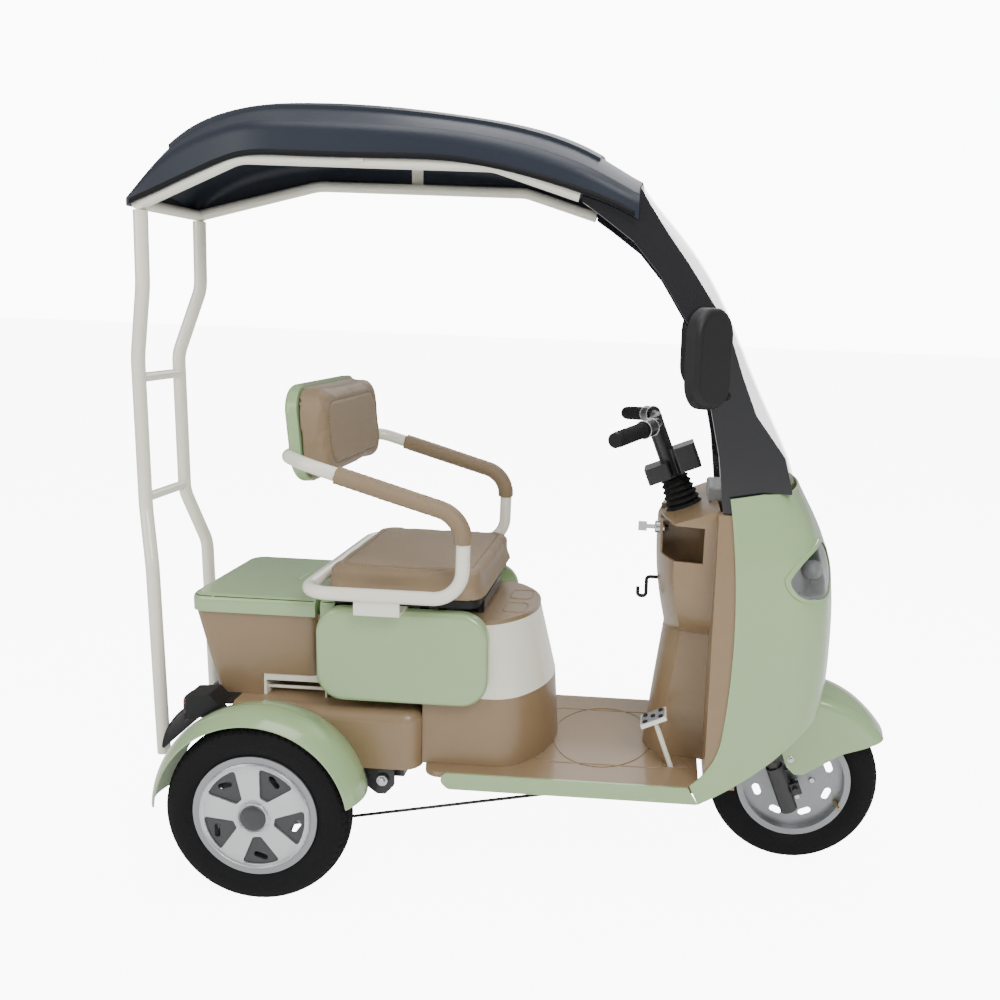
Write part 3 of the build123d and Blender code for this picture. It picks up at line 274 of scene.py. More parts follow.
def dust_group() -> bpy.types.NodeTree:
    """Builds the dust that lies on what faces up.

    Returns:
        The group, with a dust mask from 0 to 1.
    """
    tree, given, asked = open_group("dust", {"Amount": 0.15}, ["Dust"])
    normal = tree.add("ShaderNodeNewGeometry")
    split = tree.add("ShaderNodeSeparateXYZ")
    tree.link(normal.outputs["Normal"], split.inputs[0])
    up = tree.spread(split.outputs["Z"], 0.0, 1.0, 0.1, 1.0)
    patch = tree.spread(tree.noise(given["Vector"], 9.0), 0.0, 1.0, 0.35, 0.7)
    both = tree.maths("MULTIPLY", up, patch)
    tree.link(tree.maths("MULTIPLY", both, given["Amount"]), asked["Dust"])
    return tree.tree


@dataclass(frozen=True)
class Finish:
    """One opaque finish: its colours, gloss and surface pattern."""

    name: str
    colour: Triple
    roughness: float = 0.45
    metallic: float = 0.0
    coat: float = 0.0
    sheen: float = 0.0
    pattern: Pattern = Pattern.SMOOTH
    scale: float = 400.0
    depth: float = 0.0002
    shift: float = 0.06
    dust: float = 0.03
    specular: float = 0.5

    def build(self, groups: dict[str, bpy.types.NodeTree]) -> bpy.types.Material:
        """Makes the material.

        Args:
            groups: The shared effects by name.

        Returns:
            The material.
        """
        material, tree, shader = open_material(self.name)
        coords = tree.add("ShaderNodeTexCoord").outputs["Object"]
        mottle = tree.group(groups["mottle"], Speck_Scale=self.scale)
        dust = tree.group(groups["dust"], Amount=self.dust)
        tree.link(coords, mottle.inputs["Vector"])
        tree.link(coords, dust.inputs["Vector"])
        dark = tuple(c * (1.0 - self.shift) for c in self.colour)
        light = tuple(min(1.0, c * (1.0 + self.shift)) for c in self.colour)
        base = tree.mix(mottle.outputs["Cloud"], dark, light)
        if self.pattern is Pattern.DOTTED:
            dots = self.height(tree, coords, mottle.outputs["Speck"])
            base = tree.mix(dots, tuple(c * 0.5 for c in dark), light)
        dusted = tree.mix(dust.outputs["Dust"], base, DUST_COLOUR)
        tree.link(dusted, shader.inputs["Base Color"])
        rough = tree.spread(mottle.outputs["Cloud"], self.roughness * 0.88, min(1.0, self.roughness * 1.12))
        tree.link(rough, shader.inputs["Roughness"])
        fill(shader, Metallic=self.metallic, Specular_IOR_Level=self.specular, Coat_Weight=self.coat,
             Coat_Roughness=0.08, Sheen_Weight=self.sheen)
        if self.pattern is not Pattern.SMOOTH:
            bump = tree.add("ShaderNodeBump")
            fill(bump, Strength=0.5, Distance=self.depth)
            tree.link(self.height(tree, coords, mottle.outputs["Speck"]), bump.inputs["Height"])
            tree.link(bump.outputs["Normal"], shader.inputs["Normal"])
        return material

    def height(self, tree: Tree, coords: Socket,
               speck: Socket) -> Socket:
        """Gives the height that the bump reads.

        Args:
            tree: The material's tree.
            coords: The object coordinates.
            speck: The fine noise of the shared effect.

        Returns:
            The height.
        """
        if self.pattern is Pattern.LEATHER:
            cells = tree.add("ShaderNodeTexVoronoi", feature="DISTANCE_TO_EDGE")
            fill(cells, Scale=self.scale)
            tree.link(coords, cells.inputs["Vector"])
            return tree.maths("ADD", tree.spread(cells.outputs["Distance"], 0.0, 1.0, 0.0, 0.25), speck)
        if self.pattern is Pattern.BRUSHED:
            stretch = tree.add("ShaderNodeMapping")
            fill(stretch, Scale=(1.0, 0.05, 1.0))
            tree.link(coords, stretch.inputs["Vector"])
            return tree.noise(stretch.outputs["Vector"], self.scale)
        if self.pattern is Pattern.DOTTED:
            dots = tree.add("ShaderNodeTexVoronoi", feature="F1")
            fill(dots, Scale=self.scale, Randomness=0.0)
            tree.link(coords, dots.inputs["Vector"])
            return tree.spread(dots.outputs["Distance"], 0.0, 1.0, 0.26, 0.34)
        return speck


@dataclass(frozen=True)
class Glass:
    """One clear or tinted finish that light goes through."""

    name: str
    colour: Triple
    roughness: float = 0.03
    index: float = 1.45
    alpha: float = 1.0

    def build(self, groups: dict[str, bpy.types.NodeTree]) -> bpy.types.Material:
        """Makes the material.

        Args:
            groups: The shared effects by name.

        Returns:
            The material.
        """
        material, tree, shader = open_material(self.name)
        coords = tree.add("ShaderNodeTexCoord").outputs["Object"]
        mottle = tree.group(groups["mottle"], Cloud_Scale=9.0)
        tree.link(coords, mottle.inputs["Vector"])
        dark = tuple(c * 0.97 for c in self.colour)
        tree.link(tree.mix(mottle.outputs["Cloud"], dark, self.colour), shader.inputs["Base Color"])
        rough = tree.spread(mottle.outputs["Cloud"], self.roughness * 0.7, self.roughness * 1.3)
        tree.link(rough, shader.inputs["Roughness"])
        fill(shader, IOR=self.index, Transmission_Weight=1.0, Alpha=self.alpha)
        return material


SAGE = Finish("sage green paint", (0.33, 0.47, 0.235), roughness=0.24, coat=0.7, shift=0.02)
TAN = Finish("tan moulded shell", (0.265, 0.178, 0.097), roughness=0.4, coat=0.25, shift=0.04,
             pattern=Pattern.GRAINED, scale=1100.0, depth=0.00008)
CREAM = Finish("cream paint", (0.93, 0.91, 0.77), roughness=0.22, coat=0.7, shift=0.02)
CANOPY = Finish("charcoal canopy", (0.016, 0.021, 0.033), roughness=0.42, specular=0.35,
                pattern=Pattern.GRAINED, scale=900.0, depth=0.0001)
CANOPY_BAND = Finish("dull canopy edge", (0.008, 0.008, 0.009), roughness=0.7, specular=0.2,
                     pattern=Pattern.GRAINED, scale=1200.0)
BLACK_GLOSS = Finish("gloss black moulding", (0.011, 0.011, 0.013), roughness=0.14, coat=0.8)
BLACK_PLASTIC = Finish("black moulded plastic", (0.011, 0.011, 0.012), roughness=0.5, specular=0.3,
                       pattern=Pattern.GRAINED, scale=1500.0, depth=0.00015)
BLACK_PAINT = Finish("black frame paint", (0.015, 0.015, 0.016), roughness=0.36, coat=0.3)
GREY_PLASTIC = Finish("grey moulded plastic", (0.36, 0.37, 0.37), roughness=0.45, pattern=Pattern.GRAINED,
                      scale=1500.0, depth=0.0001)
DARK_INSERT = Finish("dark slotted insert", (0.035, 0.036, 0.04), roughness=0.4, coat=0.2)
RUBBER = Finish("tyre rubber", (0.008, 0.008, 0.0085), roughness=0.75, specular=0.15, pattern=Pattern.GRAINED,
                scale=700.0, depth=0.0002)
SOFT_BLACK = Finish("black rubber", (0.01, 0.01, 0.01), roughness=0.6, specular=0.25, pattern=Pattern.GRAINED,
                    scale=1800.0)
STEEL = Finish("bright steel", (0.62, 0.62, 0.63), roughness=0.22, metallic=1.0, pattern=Pattern.BRUSHED,
               scale=600.0, depth=0.00005)
RIM_STEEL = Finish("grey rim paint", (0.30, 0.31, 0.32), roughness=0.32, metallic=0.6, coat=0.3)
SILVER = Finish("silver cover paint", (0.60, 0.61, 0.62), roughness=0.24, metallic=0.7, coat=0.4)
SILVER_DOTS = Finish("dotted silver cover", (0.58, 0.59, 0.60), roughness=0.26, metallic=0.7, coat=0.3,
                     pattern=Pattern.DOTTED, scale=190.0, depth=0.0012)
BRASS = Finish("valve brass", (0.62, 0.45, 0.18), roughness=0.3, metallic=1.0)
LEATHER = Finish("brown seat leather", (0.255, 0.18, 0.105), roughness=0.48, sheen=0.03,
                 pattern=Pattern.LEATHER, scale=420.0, depth=0.0005)
THREAD = Finish("seam thread", (0.09, 0.062, 0.04), roughness=0.7, sheen=0.3, pattern=Pattern.GRAINED,
                scale=2500.0)
CLEAR = Glass("clear tinted screen", (0.90, 0.97, 0.91), alpha=0.35)
LENS = Glass("clear lamp lens", (0.93, 0.95, 0.95), roughness=0.05)
SMOKED = Glass("smoked tail lens", (0.34, 0.10, 0.09), roughness=0.12)
AMBER = Glass("amber reflector", (0.95, 0.36, 0.03), roughness=0.2)

DRESS: dict[Finish | Glass, str] = {
    SAGE: "floor_skirts side_panels rear_fenders backrest_shell front_shield box_lid lid_strip front_fender "
          "lamp_bezels",
    TAN: "floor_board pedestal_base pedestal_tray rear_deck box_body leg_liner",
    CREAM: "pedestal_panel box_rail seat_frame rear_ladder roof_frame brake_pedal",
    CANOPY: "canopy",
    BLACK_GLOSS: "pillars",
    CLEAR: "windscreen",
    LENS: "lamp_lenses",
    GREY_PLASTIC: "lamp_bowls instrument_pod",
    SMOKED: "tail_lamp_lenses",
    AMBER: "fork_reflectors",
    STEEL: "ignition_lock",
    BLACK_PAINT: "chassis_frame pivot_brackets rear_axle rear_shocks brake_rods front_fork handlebar",
    SOFT_BLACK: "grips steering_gaiter",
    RIM_STEEL: "front_rim rear_rim_right rear_rim_left",
    SILVER_DOTS: "rear_cover_right rear_cover_left",
    DARK_INSERT: "rear_insert_right rear_insert_left",
}
FINISHES = {node: finish for finish, nodes in DRESS.items() for node in nodes.split()}


@dataclass
class Studio:
    """The camera, lights, floor and world."""

    camera_at: Triple = (0.3245, -2.175, 1.313)
    yaw: float = 2.75
    pitch: float = 10.17
    roll: float = 2.24
    lens: float = 33.88
    shift: Pair = (-0.1163, -0.0192)
    ambient: float = 0.32
    backdrop: float = 11.0
    glow: float = 0.38
    floor_seen: float = 9.0

    def build(self) -> None:
        """Puts up the studio."""
        self.place_camera()
        self.place_floor()
        self.place_lights()
        world = bpy.data.worlds.new("studio")
        world.use_nodes = True
        tree = Tree(world.node_tree)
        back = world.node_tree.nodes["Background"]
        back.inputs["Color"].default_value = (1.0, 1.0, 1.0, 1.0)
        seen = tree.add("ShaderNodeLightPath").outputs["Is Camera Ray"]
        tree.link(tree.spread(seen, self.ambient, self.backdrop), back.inputs["Strength"])
        bpy.context.scene.world = world

    def place_camera(self) -> None:
        """Places the camera at the photograph's angle."""
        yaw, pitch, roll = (math.radians(a) for a in (self.yaw, self.pitch, self.roll))
        level = Vector((math.cos(yaw), math.sin(yaw), 0.0))
        flat = Vector((-math.sin(yaw), math.cos(yaw), 0.0))
        plumb = Vector((0.0, 0.0, 1.0))
        ahead = flat * math.cos(pitch) - plumb * math.sin(pitch)
        above = plumb * math.cos(pitch) + flat * math.sin(pitch)
        right = level * math.cos(roll) + above * math.sin(roll)
        up = above * math.cos(roll) - level * math.sin(roll)
        data = bpy.data.cameras.new("camera")
        data.lens = self.lens
        data.sensor_width = 36.0
        data.sensor_fit = "HORIZONTAL"
        data.shift_x, data.shift_y = self.shift
        camera = bpy.data.objects.new("camera", data)
        basis = Matrix((right, up, -ahead)).transposed().to_4x4()
        camera.matrix_world = Matrix.Translation(self.camera_at) @ basis
        bpy.context.scene.collection.objects.link(camera)
        bpy.context.scene.camera = camera

    def place_floor(self) -> None:
        """Lays a pale floor under the wheels."""
        shape = bmesh.new()
        bmesh.ops.create_grid(shape, x_segments=1, y_segments=1, size=40.0)
        mesh = bpy.data.meshes.new("floor")
        shape.to_mesh(mesh)
        shape.free()
        floor = bpy.data.objects.new("studio_floor", mesh)
        bpy.context.scene.collection.objects.link(floor)
        material, tree, shader = open_material("studio floor")
        fill(shader, Base_Color=(0.84, 0.84, 0.84, 1.0), Roughness=0.9, Emission_Color=(1.0, 1.0, 1.0, 1.0))
        seen = tree.add("ShaderNodeLightPath").outputs["Is Camera Ray"]
        tree.link(tree.spread(seen, self.glow, self.floor_seen), shader.inputs["Emission Strength"])
        mesh.materials.append(material)

    def place_lights(self) -> None:
        """Hangs the soft lights."""
        plan = (
            ("key", (1.7, -3.0, 3.4), 1.8, 118.0),
            ("fill", (-2.6, -2.2, 2.0), 2.0, 40.0),
            ("back", (0.2, 3.0, 3.2), 2.6, 60.0),
            ("top", (0.0, -0.4, 4.0), 2.4, 80.0),
        )
        for name, at, size, power in plan:
            light = bpy.data.lights.new(name, "AREA")
            light.size = size
            light.energy = power
            lamp = bpy.data.objects.new(name, light)
            lamp.location = at
            aim = Vector((0.1, 0.0, 0.8)) - Vector(at)
            lamp.rotation_euler = aim.to_track_quat("-Z", "Y").to_euler()
            bpy.context.scene.collection.objects.link(lamp)


class Workshop:
    """Makes pieces: keeps the materials by finish and joins each new mesh to its body."""

    def __init__(self, groups: dict[str, bpy.types.NodeTree]) -> None:
        """Keeps the shared effects.

        Args:
            groups: The shared effects by name.
        """
        self.groups = groups
        self.made: dict[str, bpy.types.Material] = {}

    def material(self, finish: Finish | Glass) -> bpy.types.Material:
        """Gives a finish's material, made on first use.

        Args:
            finish: The finish.

        Returns:
            Its material.
        """
        if finish.name not in self.made:
            self.made[finish.name] = finish.build(self.groups)
        return self.made[finish.name]

    def add(self, name: str, shape: Shape | Mesh, body: str,
            finish: Finish | Glass, smooth: bool = True) -> Piece:
        """Turns a shape into a piece that rides on a body.

        Args:
            name: The piece's name.
            shape: Its shape, in metres in the row frame.
            body: The body that it moves with.
            finish: Its finish.
            smooth: Whether its faces are smooth.

        Returns:
            The piece.
        """
        mesh = shape
        if isinstance(shape, Shape):
            bmesh.ops.recalc_face_normals(shape, faces=shape.faces)
            mesh = bpy.data.meshes.new(name)
            shape.to_mesh(mesh)
            shape.free()
        mesh.materials.clear()
        mesh.materials.append(self.material(finish))
        for polygon in mesh.polygons:
            polygon.use_smooth = smooth
        piece = bpy.data.objects.new(name, mesh)
        bpy.context.scene.collection.objects.link(piece)
        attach(piece, body)
        LOG.info("%s: %d faces", name, len(mesh.polygons))
        return piece


def face_tree(mesh: Mesh) -> BVHTree:
    """Builds a tree of a mesh's faces for rays.

    Args:
        mesh: The mesh.

    Returns:
        The tree.
    """
    return BVHTree.FromPolygons([v.co for v in mesh.vertices], [list(p.vertices) for p in mesh.polygons])


def skin(shape: Shape, rings: list[list[bmesh.types.BMVert]], closed: bool = False) -> None:
    """Joins rings of points with faces, and closes both ends where the rings aren't a loop.

    Args:
        shape: The shape that gets the faces.
        rings: The rings, all with the same number of points.
        closed: Whether the last ring joins the first.
    """
    pairs = list(zip(rings, rings[1:]))
    if closed:
        pairs.append((rings[-1], rings[0]))
    for low, high in pairs:
        for k in range(len(low)):
            n = (k + 1) % len(low)
            shape.faces.new((low[k], low[n], high[n], high[k]))
    if not closed:
        shape.faces.new(rings[0][::-1])
        shape.faces.new(rings[-1])


def circle(along: Vector, radius: float, steps: int) -> list[Vector]:
    """Gives offsets round a line.

    Args:
        along: The line's way.
        radius: The circle's radius.
        steps: How many points it has.

    Returns:
        The offsets.
    """
    side = along.orthogonal().normalized()
    other = along.cross(side)
    return [(side * math.cos(a) + other * math.sin(a)) * radius
            for a in (2.0 * math.pi * k / steps for k in range(steps))]


def add_disc(shape: Shape, at: Vector, along: Vector, profile: list[Pair],
             steps: int = 24) -> None:
    """Adds a turned form to a shape.

    Args:
        shape: The shape that gets it.
        at: Where its foot is.
        along: The way it points.
        profile: Radius and height pairs from the foot to the top, in metres.
        steps: How many sides it has; 6 gives a bolt's flats.
    """
    turn = along.normalized().to_track_quat("Z", "Y").to_matrix()
    rings = []
    for radius, height in profile:
        ring = []
        for k in range(steps):
            angle = 2.0 * math.pi * k / steps
            point = Vector((radius * math.cos(angle), radius * math.sin(angle), height))
            ring.append(shape.verts.new(at + turn @ point))
        rings.append(ring)
    skin(shape, rings)


def add_tube(shape: Shape, points: list[Vector], radius: float, closed: bool = False,
             steps: int = 8) -> None:
    """Adds a round tube along points to a shape.

    Args:
        shape: The shape that gets it.
        points: The line it follows.
        radius: Its radius.
        closed: Whether it is a loop.
        steps: How many sides it has.
    """
    rings = []
    count = len(points)
    side = None
    for i, point in enumerate(points):
        before = points[i - 1] if closed or i else point
        after = points[(i + 1) % count] if closed or i < count - 1 else point
        along = (after - before).normalized()
        if side is None:
            side = along.orthogonal().normalized()
        side = (side - along * side.dot(along)).normalized()
        other = along.cross(side)
        rings.append([shape.verts.new(point + (side * math.cos(a) + other * math.sin(a)) * radius)
                      for a in (2.0 * math.pi * k / steps for k in range(steps))])
    skin(shape, rings, closed)


def rounded_loop(half_x: float, half_y: float, corner: float, step: float) -> list[Pair]:
    """Gives even points round a rounded rectangle.

    Args:
        half_x: Half its first side.
        half_y: Half its second side.
        corner: Its corner radius.
        step: The distance from point to point.

    Returns:
        The points.
    """
    dense = []
    for quadrant in range(4):
        sx, sy = ((1, 1), (-1, 1), (-1, -1), (1, -1))[quadrant]
        for k in range(33):
            angle = math.radians(90.0 * quadrant + 90.0 * k / 32)
            dense.append((sx * (half_x - corner) + corner * math.cos(angle),
                          sy * (half_y - corner) + corner * math.sin(angle)))
    dense.append(dense[0])
    total = sum(math.dist(a, b) for a, b in zip(dense, dense[1:]))
    count = max(8, round(total / step))
    points, gone, index = [], 0.0, 0
    for k in range(count):
        goal = total * k / count
        while gone + math.dist(dense[index], dense[index + 1]) < goal:
            gone += math.dist(dense[index], dense[index + 1])
            index += 1
        part = (goal - gone) / max(1e-9, math.dist(dense[index], dense[index + 1]))
        points.append(tuple(a + (b - a) * part for a, b in zip(dense[index], dense[index + 1])))
    return points


@dataclass
class Cushion:
    """A padded piece that is blown up from its CAD solid and sewn."""

    node: str
    name: str
    finish: Finish
    voxel: float = 0.006
    pressure: float = 4.0
    cap: float = 0.008
    shrink: float = 0.004
    divide: int = 1
    fill: float = 0.8
    steps: int = 20

    def build(self, shop: Workshop) -> Piece:
        """Makes the padded piece.

        Args:
            shop: The workshop.

        Returns:
            The piece.
        """
        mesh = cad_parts[self.node].data.copy()
        shape = bmesh.new()
        shape.from_mesh(mesh)
        for vert in shape.verts:
            vert.co -= vert.normal * self.shrink
        shape.to_mesh(mesh)
        shape.free()
        draft = bpy.data.objects.new(self.name + "_draft", mesh)
        bpy.context.scene.collection.objects.link(draft)
        remesh = draft.modifiers.new("remesh", "REMESH")
        remesh.mode = "VOXEL"
        remesh.voxel_size = self.voxel
        base = self.bake(draft)
        low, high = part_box(self.node)
        start = [v.co.copy() for v in base.vertices]
        self.inflate(draft, start, Vector(low), Vector(high))
        if self.divide:
            level = draft.modifiers.new("divide", "SUBSURF")
            level.levels = self.divide
            level.render_levels = self.divide
            self.bake(draft)
        final = draft.data
        self.sew(final, Vector(low), Vector(high))
        bpy.data.objects.remove(draft)
        piece = shop.add(self.name, final, "vehicle", self.finish)
        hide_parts(self.node)
        return piece

    def bake(self, piece: Piece) -> Mesh:
        """Applies the piece's modifiers.

        Args:
            piece: The piece.

        Returns:
            Its new mesh.
        """
        graph = bpy.context.evaluated_depsgraph_get()
        mesh = bpy.data.meshes.new_from_object(piece.evaluated_get(graph))
        piece.modifiers.clear()
        piece.data = mesh
        return mesh

    def inflate(self, draft: Piece, start: list[Vector], low: Vector, high: Vector) -> None:
        """Blows the draft up with cloth pressure and caps how far its points go.

        Args:
            draft: The draft piece.
            start: Its points before.
            low: The CAD solid's lowest corner.
            high: The CAD solid's highest corner.
        """
        cloth = draft.modifiers.new("cloth", "CLOTH")
        cloth.settings.use_pressure = True
        cloth.settings.uniform_pressure_force = self.pressure
        cloth.settings.effector_weights.gravity = 0.0
        cloth.settings.quality = 4
        cloth.point_cache.frame_start = 1
        cloth.point_cache.frame_end = self.steps
        for step in range(1, self.steps + 1):
            bpy.context.scene.frame_set(step)
        blown = self.bake(draft)
        bpy.context.scene.frame_set(1)
        for vert, before in zip(blown.vertices, start):
            move = vert.co - before
            far = self.cap * self.freedom(before, low, high)
            if move.length > far:
                move = move.normalized() * far
            vert.co = before + move

    def freedom(self, at: Vector, low: Vector, high: Vector) -> float:
        """Says how freely a point may move.

        Args:
            at: Where the point is.
            low: The CAD solid's lowest corner.
            high: Its highest corner.

        Returns:
            How freely it may move, from 0 to 1.
        """
        return 1.0

    def sew(self, mesh: Mesh, low: Vector, high: Vector) -> None:
        """Presses the seams into the mesh, which a plain pad hasn't.

        Args:
            mesh: The mesh.
            low: The CAD solid's lowest corner.
            high: Its highest corner.
        """

    def press(self, mesh: Mesh, line: list[Vector], width: float, depth: float) -> None:
        """Presses a groove along a line into the mesh.

        Args:
            mesh: The mesh.
            line: The line's points, close together.
            width: Half the groove's width.
            depth: Its depth.
        """
        tree = KDTree(len(line))
        for index, point in enumerate(line):
            tree.insert(point, index)
        tree.balance()
        moves = []
        for vert in mesh.vertices:
            gap = tree.find(vert.co)[2]
            if gap < width:
                moves.append((vert, vert.normal.copy(), depth * (1.0 - (gap / width) ** 2)))
        for vert, normal, depth_here in moves:
            vert.co -= normal * depth_here


TREES: dict[str, BVHTree] = {}


def drop(piece: Piece | Mesh, at: Vector, way: Vector) -> Vector | None:
    """Finds where a ray meets a piece.

    Args:
        piece: The piece or mesh.
        at: Where the ray starts.
        way: Where it points.

    Returns:
        The point that it meets, or None.
    """
    mesh = piece if isinstance(piece, Mesh) else piece.data
    key = mesh.name
    if key not in TREES:
        TREES[key] = face_tree(mesh)
    return TREES[key].ray_cast(at, way)[0]


@dataclass
class SewnCushion(Cushion):
    """A padded piece with one sewn line inside its edge, facing along axis 0 (ahead) or 2 (up)."""

    axis: int = 2
    inset: float = 0.034
    corner: float = 0.03
    rest: float = 0.006
    recline: float = 0.0
    groove: float = 0.006
    depth: float = 0.0028
    fade: float = 0.02
    off: float = 0.05
    stitch_pitch: float = 0.0075
    stitch_length: float = 0.0042
    thread: float = 0.0006
    longest: float = 0.03

    def freedom(self, at: Vector, low: Vector, high: Vector) -> float:
        """Holds the flat side where it lies on what carries it.

        Args:
            at: Where the point is.
            low: The CAD solid's lowest corner.
            high: Its highest corner.

        Returns:
            How freely it may move, from 0 to 1.
        """
        lean = (at.z - low.z) * math.tan(math.radians(self.recline))
        return min(1.0, max(0.0, (at[self.axis] + lean - low[self.axis] - self.rest) / self.fade))

    def line(self, low: Vector, high: Vector, step: float) -> list[Vector]:
        """Gives the sewn line.

        Args:
            low: The CAD solid's lowest corner.
            high: Its highest corner.
            step: The distance from point to point.

        Returns:
            The points, off the piece on the side that it faces.
        """
        mid, half = (low + high) / 2, (high - low) / 2
        a, b = (k for k in range(3) if k != self.axis)
        points = []
        for first, second in rounded_loop(half[a] - self.inset, half[b] - self.inset, self.corner, step):
            point = Vector()
            point[a], point[b], point[self.axis] = mid[a] + first, mid[b] + second, high[self.axis] + self.off
            points.append(point)
        return points

    def inward(self) -> Vector:
        """Gives the way from the line to the piece.

        Returns:
            The way, 1 long.
        """
        way = Vector()
        way[self.axis] = -1.0
        return way

    def sew(self, mesh: Mesh, low: Vector, high: Vector) -> None:
        """Presses the line in.

        Args:
            mesh: The mesh.
            low: The CAD solid's lowest corner.
            high: Its highest corner.
        """
        hits = [drop(mesh, point, self.inward()) for point in self.line(low, high, self.groove / 2)]
        TREES.pop(mesh.name, None)
        self.press(mesh, [h for h in hits if h is not None], self.groove, self.depth)

    def stitch(self, shop: Workshop, piece: Piece, name: str) -> None:
        """Lays thread stitches in the line.

        Args:
            shop: The workshop.
            piece: The padded piece.
            name: The name of the stitches.
        """
        low, high = (Vector(c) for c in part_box(self.node))
        way = self.inward()
        hits = [drop(piece, start, way) for start in self.line(low, high, self.stitch_pitch)]
        lift = -way * self.thread * 0.4
        bow = ((-1.0, 0.2), (-0.4, 1.6), (0.4, 1.6), (1.0, 0.2))
        shape = bmesh.new()
        for here, after in zip(hits, hits[1:] + hits[:1]):
            if here is None or after is None or (after - here).length > self.longest:
                continue
            along = (after - here).normalized() * self.stitch_length / 2
            add_tube(shape, [here + along * far + lift * up for far, up in bow], self.thread, steps=5)
        stitches = shop.add(name, shape, "vehicle", THREAD)
        stitches.parent = piece
        stitches.matrix_parent_inverse = piece.matrix_world.inverted()


@dataclass
class ArmPads(Cushion):
    """The two padded sleeves on the arm tubes."""

    tubes: list[BVHTree] = field(default_factory=list)

    def freedom(self, at: Vector, low: Vector, high: Vector) -> float:
        """Holds the inside of the sleeve on the tube.

        Args:
            at: Where the point is.
            low: The CAD solid's lowest corner.
            high: Its highest corner.

        Returns:
            How freely it may move, from 0 to 1.
        """
        if not self.tubes:
            self.tubes.append(face_tree(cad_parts["seat_frame"].data))
        gap = self.tubes[0].find_nearest(at)[3]
        return min(1.0, max(0.0, (gap - 0.002) / 0.002))


@dataclass
class Tyre:
    """A tyre with a road tread cut into the CAD section."""

    node: str
    at: Triple
    crown: float = 0.205
    half: float = 0.038
    # How far the shoulder lies in from the crown and from the side.
    edge: Pair = (0.015, 0.004)
    # The flank's foot and the bead, each as radius and half width.
    flank: Pair = (0.139, 0.026)
    bead: Pair = (0.1284, 0.0255)
    bulge: float = 0.0072
    steps: int = 288
    pitch: int = 72
    plain: float = 0.006
    wave: float = 0.0022
    grooves: tuple[float, ...] = (-0.017, 0.0, 0.017)
    groove_half: float = 0.0016
    groove_depth: float = 0.0034
    # Each row of slits: where it starts or ends, its slant, its share of the pitch and its depth.
    outer: tuple[float, float, float, float] = (0.0195, 22.0, 0.26, 0.003)
    inner: tuple[float, float, float, float] = (0.0145, 30.0, 0.12, 0.0018)
    # The ribbed ring on the flank: its inner and outer radius, and its depth.
    ribs: Triple = (0.160, 0.168, 0.0006)

    def section(self) -> list[Pair]:
        """Gives the section, from bead to bead round the outside.

        Returns:
            Radius and width pairs.
        """
        edge_r, edge_y = self.crown - self.edge[0], self.half - self.edge[1]
        sag = self.crown - edge_r
        radius = (edge_y ** 2 + sag ** 2) / (2 * sag)
        top = [(self.crown - radius + math.sqrt(radius ** 2 - y ** 2), y)
               for y in (edge_y * k / 22 for k in range(-22, 23))]
        side = []
        for t in (k / 9 for k in range(1, 10)):
            r = edge_r + (self.flank[0] - edge_r) * t
            side.append((r, edge_y + (self.flank[1] - edge_y) * t + self.bulge * math.sin(math.pi * t)))
        left = [(r, -y) for r, y in reversed(side)]
        return [(self.bead[0], -self.bead[1]), *left, *top, *side, self.bead]

    def cut(self, angle: float, r: float, y: float) -> float:
        """Says how deep the tyre is cut at a place.

        Args:
            angle: The angle round the axle.
            r: The radius there.
            y: The distance from the tyre's middle.

        Returns:
            The depth in metres.
        """
        if r <= self.crown - self.edge[0] - 0.001:
            ribbed = self.ribs[0] < r < self.ribs[1] and (angle * 90 / math.pi) % 1.0 < 0.5
            return self.ribs[2] if ribbed else 0.0
        if abs(y) > self.half - self.plain:
            return 0.0
        wave = self.wave * math.sin(angle * self.pitch)
        if any(abs(y - groove - wave) < self.groove_half for groove in self.grooves):
            return self.groove_depth
        phase = (angle / (2 * math.pi) * self.pitch) % 1.0
        start, slant, share, depth = self.outer
        if abs(y) > start and (phase + abs(y) * slant) % 1.0 < share:
            return depth
        end, slant, share, depth = self.inner
        return depth if abs(y) < end and (phase + y * slant) % 1.0 < share else 0.0

    def build(self, shop: Workshop) -> None:
        """Makes the tyre.

        Args:
            shop: The workshop.
        """
        shape = bmesh.new()
        centre, section = Vector(self.at), self.section()
        rings = []
        for angle in (2.0 * math.pi * i / self.steps for i in range(self.steps)):
            way = Vector((math.cos(angle), 0.0, math.sin(angle)))
            rings.append([shape.verts.new(centre + way * (r - self.cut(angle, r, y)) + Vector((0.0, y, 0.0)))
                          for r, y in section])
        skin(shape, rings, closed=True)
        body = self.node.replace("tyre", "wheel")
        piece = shop.add(self.node + "_treaded", shape, body, RUBBER, smooth=False)
        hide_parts(self.node)


@dataclass
class Bolts:
    """Bolts, each a washer and a head."""

    name: str
    body: str
    places: list[tuple[Triple, Triple, float]]
    sides: int = 6

    def build(self, shop: Workshop) -> None:
        """Sets the bolts.

        Args:
            shop: The workshop.
        """
        shape = bmesh.new()
        for at, along, r in self.places:
            washer = [(r * 1.5, -0.001), (r * 1.5, r * 0.22), (r * 1.4, r * 0.28)]
            head = [(r, 0.0), (r, r * 0.75), (r * 0.86, r * 0.92)]
            add_disc(shape, Vector(at), Vector(along), washer, 20)
            add_disc(shape, Vector(at), Vector(along), head, self.sides)
        shop.add(self.name, shape, self.body, STEEL, smooth=False)


